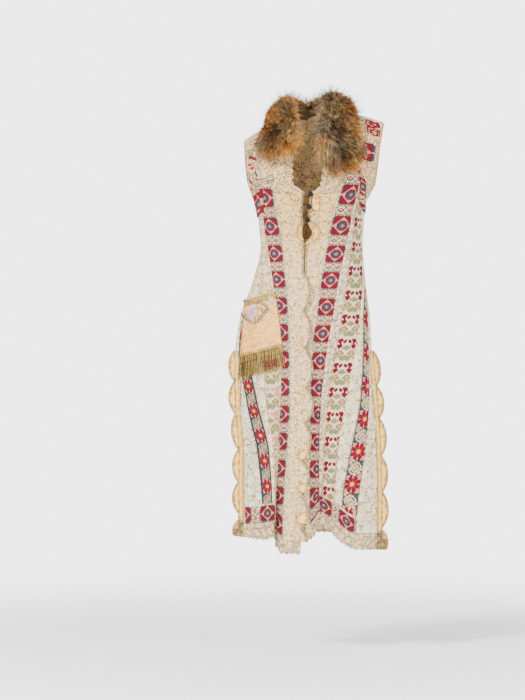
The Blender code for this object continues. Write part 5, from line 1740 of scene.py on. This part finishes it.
def build_back():
    cloth = CLOTHS["back"]
    v = np.arange(0.0, BAND_LOW - 0.1, -6.0)[:, None]
    c = np.linspace(0.0, 1.0, 76)[None, :]
    points, normals = cloth.sample(c, v, 1.1)
    declare(sewn("ground_back", points, normals, 1.0, "ground", "ivory_cloth", "back_panel"),
            points)
    stitched("hem_stitches_back", cloth, 0.075, 0.925, BAND_TOP - 2.0, BAND_LOW + 2.0,
             CRIMSON_CHART, 3.4, "crimson_ribbon", "hem_band_back",
             ((-1000.0, 3.0), (-1300.0, 3.0)), turned=True)
    strip("back_crochet", cloth, 0.01, 0.99, -8.0, YOKE_LOW, "crochet", 0.7, 8.0)
    for k, (c0, c1) in enumerate(((0.16, 0.27), (0.445, 0.555), (0.73, 0.84))):
        strip("back_lace_%d" % (k + 1), cloth, c0, c1, -238.0, BAND_TOP, "white lace", 1.2, 10.0)
    build_hem_lace("back")
    for side in ("left", "right"):
        build_slit_border(side, "back")
        build_side_seam(side)


def inside(spot):
    """Whether a point lies between the vest's front and back surfaces."""
    x, y, z = spot
    high = float(shoulder_z(x, LEFT_SHOULDER if x > BACK_MIDDLE else RIGHT_SHOULDER)) + 4.0
    share = (z - CHEST_Z) / (high - CHEST_Z)
    if share >= 1.0:
        return False
    level = CHEST_Z * (1.0 - share) if share > 0.0 else z
    closing = float(bow(max(share, 0.0)))
    return float(skin(x, level)) * closing < y < float(skin(x, level, front=False)) * closing


def fur_rings(table, shrink, sides, fine):
    """Rings of the collar lobe, made smaller by shrink, with their normals and tangents."""
    x = np.arange(len(table), dtype=float)
    rows = monotone(x, table, np.linspace(0, len(table) - 1, fine))
    low = ease((60.0 - rows[:, 2]) / 60.0) * np.sign(table[1, 0])
    rows[:, 0] -= 7.0 * low
    rows[:, 3] += 6.0 * np.abs(low)
    p = rows[:, :3]
    tangent = unit(np.gradient(p, axis=0))
    tangent[0] = (math.copysign(1.0, table[1, 0]), 0.0, 0.0)
    rings, outs = [], []
    for k in range(fine):
        cx, cy, _, wide, thick, up = rows[k]
        normal = unit(np.array((cx / FUR_SPREAD_X, (cy - 8.0) / FUR_SPREAD_Y, up)))
        normal = unit(normal - tangent[k] * np.dot(normal, tangent[k]))
        across = np.cross(tangent[k], normal)
        a = np.arange(sides) * 2 * math.pi / sides
        co, si = np.cos(a), np.sin(a)
        w = np.sign(co) * np.abs(co) ** 0.85 * wide * shrink
        h = np.sign(si) * np.abs(si) ** 0.85 * thick * shrink
        ring = p[k] + np.outer(w, across) + np.outer(h, normal)
        for j in range(sides):
            while inside(ring[j] - normal * FUR_CLEARANCE):
                ring[j] = ring[j] + normal * 0.5
        rings.append(ring)
        outs.append(unit(np.outer(co / wide, across) + np.outer(si / thick, normal)))
    return np.array(rings), np.array(outs), tangent


def fur_colour(points, rng):
    """Colours by the listed patches, blurred and uneven."""
    weights = np.zeros((len(points), len(FUR_PATCHES)))
    jitter = points[:, [0, 2]] + rng.normal(0.0, 6.0, (len(points), 2))
    for k, (x, z, radius, _) in enumerate(FUR_PATCHES):
        d = np.hypot(jitter[:, 0] - x, jitter[:, 1] - z) / radius
        weights[:, k] = np.exp(-d * d * 1.6) + 1e-6
    behind = points[:, 1] > 20.0
    weights[behind] = weights[behind] ** 0.3
    weights = weights / weights.sum(axis=1, keepdims=True)
    palette = np.array([FUR_COLOURS[name] for _, _, _, name in FUR_PATCHES])
    return weights @ palette


def build_fur(side):
    table = LEFT_FUR if side == "left" else RIGHT_FUR
    rng = np.random.default_rng(42 if side == "left" else 43)
    rings, outs, tangent = fur_rings(table, 0.82, 28, 60)
    rings = rings[:-1]
    base_colours = fur_colour(rings.reshape(-1, 3), rng) * 0.45
    n, sides = rings.shape[:2]
    index = ring_index(n, sides)
    faces = [quads(index), index[:1, :-1][:, ::-1], index[-1:, :-1]]
    base = build_mesh("fur_skin_" + side, rings, faces, MATERIAL["fur"], None, base_colours)
    dress(base, "fur", "fur_collar_" + side)
    count = HAIRS[side]
    k = rng.uniform(0.0, n - 1.001, count)
    j = rng.uniform(0.0, sides, count)
    i0, j0 = k.astype(int), j.astype(int)
    j1 = (j0 + 1) % sides
    t, s = (k - i0)[:, None], (j - j0)[:, None]
    near_root = rings[i0, j0] * (1 - s) + rings[i0, j1] * s
    far_root = rings[i0 + 1, j0] * (1 - s) + rings[i0 + 1, j1] * s
    root = near_root * (1 - t) + far_root * t
    out = unit(outs[i0, j0] * (1 - s) + outs[i0, j1] * s)
    along = tangent[i0] * (1 - t) + tangent[i0 + 1] * t
    away = root[:, 0] / FUR_SPREAD_X, root[:, 1] / FUR_SPREAD_Y, np.full(count, 0.4)
    away = np.stack(away, axis=1)
    keep = (out * unit(away)).sum(axis=1) > -0.35
    root, out, along = root[keep], out[keep], along[keep]
    count = len(root)
    guard = rng.uniform(size=count) < 0.07
    rows = np.clip(k[keep] + rng.normal(0.0, 0.3, count), 0, n).astype(int)
    columns = np.clip(j[keep] * 1.5 + rng.normal(0.0, 0.3, count), 0, TUFT_COLUMNS - 1)
    tuft = rows * TUFT_COLUMNS + columns.astype(int)
    tufts = (n + 2) * TUFT_COLUMNS
    length = np.where(guard, rng.uniform(34.0, 56.0, count), rng.uniform(15.0, 28.0, count))
    length = length * np.where(guard, 1.0, rng.uniform(0.75, 1.3, tufts)[tuft])
    if side == "right":
        x, z = root[:, 0], root[:, 2]
        length = length * (1.0 - 0.5 * ease((-x - 78.0) / 20.0) * ease((z + 36.0) / 30.0))
        length = length * (1.0 + 0.5 * ease((-x - 105.0) / 20.0) * ease((-z - 36.0) / 20.0))
    clump = ripple(root[:, 0], root[:, 2] + root[:, 1], 5, 7.0)[:, None]
    swirl = np.zeros((count, 3))
    swirl[:, 0] = ripple(root[:, 2], root[:, 1], 8, 26.0)
    swirl[:, 2] = ripple(root[:, 0], root[:, 1], 9, 22.0)
    flow = np.clip(k[keep] / 14.0, 0.0, 1.0)[:, None]
    lie = along * (0.42 + 0.2 * clump) * flow + out * 0.75 + swirl * 0.36
    lie = lie + rng.normal(0.0, 0.24, (tufts, 3))[tuft] + rng.normal(0.0, 0.13, (count, 3))
    lie = unit(lie + out * np.where(guard, 0.35, 0.0)[:, None])
    droop = np.array((0.0, 0.0, -1.0)) * rng.uniform(0.15, 0.45, (count, 1)) + along * 0.2 * flow
    droop = droop * np.where(guard, 0.4, 1.0)[:, None]
    side_way = unit(np.cross(lie, rng.normal(size=(count, 3))))
    width = np.where(guard, 0.42, 0.5)[:, None] * rng.uniform(0.75, 1.25, (count, 1))
    verts, shade = [], []
    band = np.clip(1.0 + 0.55 * clump, 0.3, 1.9) * rng.uniform(0.5, 1.6, (tufts, 1))[tuft]
    colour = fur_colour(root, rng) * rng.uniform(0.6, 1.5, (count, 1)) * band
    colour = colour * np.where(guard, 0.6, 1.0)[:, None]
    tip_tone = rng.uniform(0.8, 2.1, (count, 1)) * np.where(guard, 0.5, 1.0)[:, None]
    for f, thin, tone in ((0.0, 1.0, 0.3), (0.4, 1.0, 0.7), (0.75, 0.7, 1.0)):
        spot = root + lie * (length[:, None] * f) + droop * (length[:, None] * f * f * 0.7)
        verts += [spot - side_way * width * thin, spot + side_way * width * thin]
        both = colour * (tone if f == 0.0 else tone * (1 - f) + tone * tip_tone * f)
        shade += [both, both]
    verts.append(root + lie * length[:, None] + droop * length[:, None] * 0.7)
    shade.append(colour * tip_tone)
    verts = np.stack(verts, axis=1).reshape(-1, 3)
    ahead = np.clip(FUR_FRONT - verts[:, 1], 0.0, None)
    verts[:, 1] = np.where(ahead > 0.0, FUR_FRONT - 12.0 * np.tanh(ahead / 12.0), verts[:, 1])
    shade = np.clip(np.stack(shade, axis=1).reshape(-1, 3), 0.0, 0.9)
    start = (np.arange(count) * 7)[:, None]
    faces = [start + np.array([part]) for part in ([0, 1, 3, 2], [2, 3, 5, 4])]
    faces = [np.concatenate(faces), start + np.array([[4, 5, 6]])]
    hair = build_mesh("fur_hair_" + side, verts, faces, MATERIAL["fur"], None, shade)
    dress(hair, "fur", "fur_collar_" + side)


def pocket_place(u, v):
    """Front-view x and z on the pocket, u from the side in, v from the top down."""
    a = np.outer(1 - u, POCKET_TOP_OUT) + np.outer(u, POCKET_TOP_IN)
    b = np.outer(1 - u, POCKET_LOW_OUT) + np.outer(u, POCKET_LOW_IN)
    return a * (1 - v) + b * v


def on_right(x, z, offset):
    """Points on the right front found at x and z in the front view."""
    cloth = CLOTHS["right"]
    points, normals = [], []
    for xx, zz, off in zip(*np.broadcast_arrays(x, z, offset)):
        line, _ = cloth.sample(cloth.c, np.full(len(cloth.c), zz))
        order = np.argsort(line[:, 0])
        xx = np.clip(xx, line[order[0], 0] + 0.6, line[order[-1], 0] - 0.6)
        c = np.interp(xx, line[order, 0], cloth.c[order])
        p, n = cloth.sample(c, zz, off)
        points.append(p)
        normals.append(n)
    return np.array(points), np.array(normals)


def pocket_grid(us, vs, offset):
    rows = [on_right(*pocket_place(us, v).T, offset) for v in vs]
    return np.array([points for points, _ in rows]), np.array([normals for _, normals in rows])


def pocket_path(us, vs, offset):
    """A line over the pocket, through pairs of its places."""
    xz = np.array([pocket_place(np.array([u]), v)[0] for u, v in zip(us, vs)])
    return on_right(xz[:, 0], xz[:, 1], offset)[0]


def build_pocket():
    us = np.linspace(0.0, 1.0, 37)
    trim = POCKET_TRIM / POCKET_HEIGHT
    vs = np.linspace(trim * 0.9, 0.99, 45)
    points, normals = pocket_grid(us, vs, POCKET_OFFSET + 1.6)
    sag = 1.6 * np.sin(np.pi * us)[None, :] * np.sin(np.pi * np.linspace(0, 1, 45))[:, None]
    pull = 0.7 * ripple(us[None, :] * 110.0, vs[:, None] * POCKET_HEIGHT, 51, 22.0)
    points = points + normals * (sag + pull * np.sin(np.pi * us)[None, :])[..., None]
    body = sewn("pocket_satin", points, normals, 1.2, "satin", "satin", "pocket")
    for k, col in enumerate((1, -2)):
        line = points[:, col] + normals[:, col] * 0.4
        seam = tube("pocket_seam_%d" % (k + 1), line, 0.5, 5, MATERIAL["braid"])
        dress(seam, "gold_trim")
    declare(body, points)
    points, normals = pocket_grid(us, np.linspace(0.0, trim, 9), POCKET_OFFSET + 2.6)
    across = np.linspace(-1.0, 1.0, 9)[:, None]
    ridge = 0.8 * (1.0 - across ** 2) + 0.35 * np.cos(us * 110.0)[None, :]
    points = points + normals * ridge[..., None]
    declare(sewn("pocket_braid", points, normals, 1.6, "braid", "gold_trim", "pocket_trim"),
            points)
    build_flower("crochet_flower", 0.27, 0.12 + trim, 20.0, "pocket_flower")
    build_flower("crochet_bud", 0.83, 0.12, 10.0, "pocket_bud")
    build_fringe()


def build_flower(name, u, v, size, node):
    """A crocheted flower of petals round a raised middle, with leaves under the larger one."""
    points, normals = pocket_grid(np.array([u]), [v], POCKET_OFFSET + 3.4)
    centre, normal = points[0, 0], normals[0, 0]
    side = unit(np.cross((0.0, 0.0, 1.0), normal))
    up = np.cross(normal, side)
    petals = 7 if size > 15 else 5
    a = np.arange(84)[None, :] * 2 * math.pi / 84
    r = np.linspace(0.0, 1.0, 9)[:, None]
    wave = np.abs(np.cos(petals * a / 2))
    radius = size * r * (1 - r * (1 - (0.66 + 0.34 * wave ** 0.7)))
    rise = 2.2 * np.exp(-((r / 0.22) ** 2)) + 1.6 * r * wave - 1.6 * r * r
    points = centre + (np.cos(a) * radius)[..., None] * side
    points = points + (np.sin(a) * radius)[..., None] * up + rise[..., None] * normal
    normals = np.tile(normal, (9, 84, 1))
    uv = np.stack((r * np.cos(a), r * np.sin(a)), axis=2) * size * 0.1
    piece = shell(name, points, normals, 1.0, MATERIAL["flower"], uv, closed=True)
    dress(piece, "applique", node)
    declare_round(points)
    if size < 15:
        return
    small = centre + (points[:6] - centre) * 0.8 + normal * 1.2
    heart = shell("crochet_flower_heart", small, normals[:6], 1.0, MATERIAL["heart"], uv[:6],
                  closed=True)
    dress(heart, "applique")
    declare_round(small)
    build_loops()
    for k, (turn, reach) in enumerate(((200.0, 30.0), (250.0, 34.0), (300.0, 30.0), (20.0, 26.0))):
        t = math.radians(turn)
        axis = side * math.cos(t) + up * math.sin(t)
        wide = np.cross(normal, axis)
        s = np.linspace(0.0, 1.0, 15)[:, None]
        w = np.linspace(-1.0, 1.0, 7)[None, :]
        half = 6.0 * np.sin(np.pi * s) ** 0.7
        spots = centre - normal * 1.2 + axis * (s * reach + 4.0)[..., None]
        spots = spots + wide * (w * half)[..., None]
        spots = spots + normal * (0.8 * (1 - w ** 2) * np.sin(np.pi * s))[..., None]
        outs = np.tile(normal, (15, 7, 1))
        declare(sewn("crochet_leaf_%d" % (k + 1), spots, outs, 0.6, "leaf", "applique"), spots)


def build_loops():
    """Looped lace that winds round the large flower."""
    for k, way in enumerate((
        ((244, 303), (247, 301), (250, 304), (253, 302)),
        ((258, 305), (261, 302), (264, 305), (267, 307), (269, 311)),
        ((243, 314), (247, 319), (252, 322), (257, 324), (261, 320), (266, 314), (268, 309)),
        ((262, 310), (265, 313), (263, 317), (260, 319)),
    )):
        marks = np.array([spot(*pair) for pair in way])
        steps = np.concatenate(([0.0], np.linalg.norm(np.diff(marks, axis=0), axis=1).cumsum()))
        t = np.linspace(0.0, steps[-1], int(steps[-1] / 0.8))
        line = np.stack([np.interp(t, steps, marks[:, n]) for n in (0, 1)], axis=1)
        ahead = unit(np.gradient(line, axis=0))
        across = np.stack((-ahead[:, 1], ahead[:, 0]), axis=1)
        line = line + across * (3.6 * np.sin(t * 0.7))[:, None]
        line = line + ahead * (3.4 * np.sin(t * 1.4))[:, None]
        path, _ = on_right(line[:, 0], line[:, 1], POCKET_OFFSET + 3.6)
        dress(tube("lace_loop_%d" % (k + 1), path, 1.25, 6, MATERIAL["loops"]), "applique")


FRINGE_STRANDS = 170


def build_fringe():
    """Twisted strands below the pocket, with a few crimson ones among them."""
    rng = np.random.default_rng(77)
    us = np.linspace(0.0, 1.0, 61)
    points, normals = pocket_grid(us, np.linspace(0.955, 1.03, 7), POCKET_OFFSET + 2.7)
    points = points + normals * (0.5 * np.cos(us * 190.0)[None, :])[..., None]
    declare(sewn("fringe_heading", points, normals, 1.5, "braid", "gold_trim", "pocket_fringe"),
            points)
    groups = {"fringe": [], "dark fringe": [], "crimson fringe": []}
    for s in range(FRINGE_STRANDS):
        u = (s + 0.5) / FRINGE_STRANDS
        length = 68.0 * rng.uniform(0.84, 1.03)
        sway = rng.normal(0.0, 0.008)
        layer = rng.uniform(0.0, 2.6)
        steps = np.linspace(0.0, 1.0, 8)
        v = 1.0 + steps * length / POCKET_HEIGHT
        uu = np.clip(u + sway * steps ** 1.6 + 0.003 * np.sin(steps * 9.0 + s), 0.0, 1.0)
        chance = rng.uniform()
        kind = "dark fringe" if chance < 0.2 or s % 7 > 3 else "fringe"
        if chance < 0.06:
            kind = "crimson fringe"
        groups[kind].append(pocket_path(uu, v, POCKET_OFFSET + 1.6 + layer))
    for u in rng.uniform(0.56, 0.88, 22):
        steps = np.linspace(0.0, 1.0, 12)
        v = 1.14 + rng.uniform(0.0, 0.14) + steps * 0.11
        uu = np.clip(u + 0.03 * np.sin(steps * 7.0 + u * 40.0), 0.0, 1.0)
        groups["crimson fringe"].append(pocket_path(uu, v, POCKET_OFFSET + 4.8))
    for kind, paths in groups.items():
        verts, faces, uvs, total = [], [], [], 0
        for path in paths:
            tangent = unit(np.gradient(path, axis=0))
            side = unit(np.cross(tangent, (0.2, 1.0, 0.1)))
            other = np.cross(tangent, side)
            a = np.arange(5) * 2 * math.pi / 5
            spin = np.arange(len(path))[:, None] * 0.9
            r = np.linspace(0.75, 0.62, len(path))[:, None, None]
            co, si = np.cos(a + spin)[..., None], np.sin(a + spin)[..., None]
            ring = path[:, None, :] + (co * side[:, None, :] + si * other[:, None, :]) * r
            faces.append(quads(ring_index(len(path), 5, total)))
            verts.append(ring.reshape(-1, 3))
            around, down = np.meshgrid(np.arange(5) * 0.1, np.arange(len(path)) * 0.6)
            uvs.append(np.stack((around, down), axis=2).reshape(-1, 2))
            total += len(path) * 5
        name = "fringe_" + kind.split()[0]
        piece = build_mesh(name, np.vstack(verts), [np.vstack(faces)], MATERIAL[kind], np.vstack(uvs))
        dress(piece, "gold_trim", "pocket_fringe")


def build_buttons():
    left, right = CLOTHS["left"], CLOTHS["right"]
    for k, z in enumerate(BUTTONS):
        tag = "%d" % (k + 1)
        low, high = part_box("button_" + tag)
        centre = (np.array(low) + np.array(high)) * 500.0
        bpy.ops.mesh.primitive_uv_sphere_add(segments=40, ring_count=24, radius=0.0079,
                                             location=tuple(centre * 0.001))
        ball = bpy.context.object
        ball.name = "button_ball_" + tag
        ball.data.name = ball.name
        for face in ball.data.polygons:
            face.use_smooth = True
        ball.data.materials.append(MATERIAL["button"])
        dress(ball, "button", "button_" + tag)
        start, _ = right.sample(0.10, z, 3.6)
        end, _ = left.sample(0.10, z, 3.6)
        back = centre + np.array((0.0, 9.0, 0.0))
        t = np.linspace(0.0, 1.0, 24)[:, None]
        for n, lift in enumerate((2.42, -2.42)):
            way = start * (1 - t) ** 2 + back * 2 * t * (1 - t) + end * t ** 2
            way[:, 2] += lift * np.sin(np.pi * t[:, 0])
            cord = tube("button_loop_%s_%d" % (tag, n + 1), way, 0.8, 7, MATERIAL["cord"])
            dress(cord, "lace", "button_cord_" + tag)


def build_stage():
    """A pale floor and soft lights."""
    bpy.ops.mesh.primitive_plane_add(size=8.0, location=(0.0, 0.0, -1.56))
    floor = bpy.context.object
    floor.name = "floor"
    look = Look("pale floor", 0.9, 0.0)
    place = look.node("ShaderNodeTexCoord").outputs["Object"]
    x, y, _ = look.split(place)
    fade = 1.0 - (x * x + y * y).math("SQRT").step(0.6, 3.0)
    floor.data.materials.append(look.finish((0.9, 0.9, 0.9), alpha=fade))
    world = bpy.data.worlds.new("studio")
    bpy.context.scene.world = world
    world.use_nodes = True
    background = world.node_tree.nodes["Background"]
    background.inputs[0].default_value = (1.0, 1.0, 1.0, 1.0)
    ray = world.node_tree.nodes.new("ShaderNodeLightPath")
    seen = Val(world.node_tree, ray.outputs["Is Camera Ray"])
    world.node_tree.links.new((seen * 2.77 + 1.28).socket, background.inputs[1])
    for name, place, size, power in (
        ("key", (-2.8, -3.0, 2.2), 0.9, 415.0),
        ("fill", (2.4, -3.0, 0.2), 2.6, 200.0),
        ("back", (0.5, 3.2, 1.8), 2.4, 60.0),
    ):
        light = bpy.data.objects.new(name, bpy.data.lights.new(name, "AREA"))
        light.data.size = size
        light.data.energy = power
        light.location = place
        aim = Vector((0.0, 0.0, -0.55)) - Vector(place)
        light.rotation_euler = aim.to_track_quat("-Z", "Y").to_euler()
        bpy.context.scene.collection.objects.link(light)


build_stage()
build_front("left")
build_front("right")
build_back()
build_patches()
build_pocket()
build_buttons()
build_fur("left")
build_fur("right")
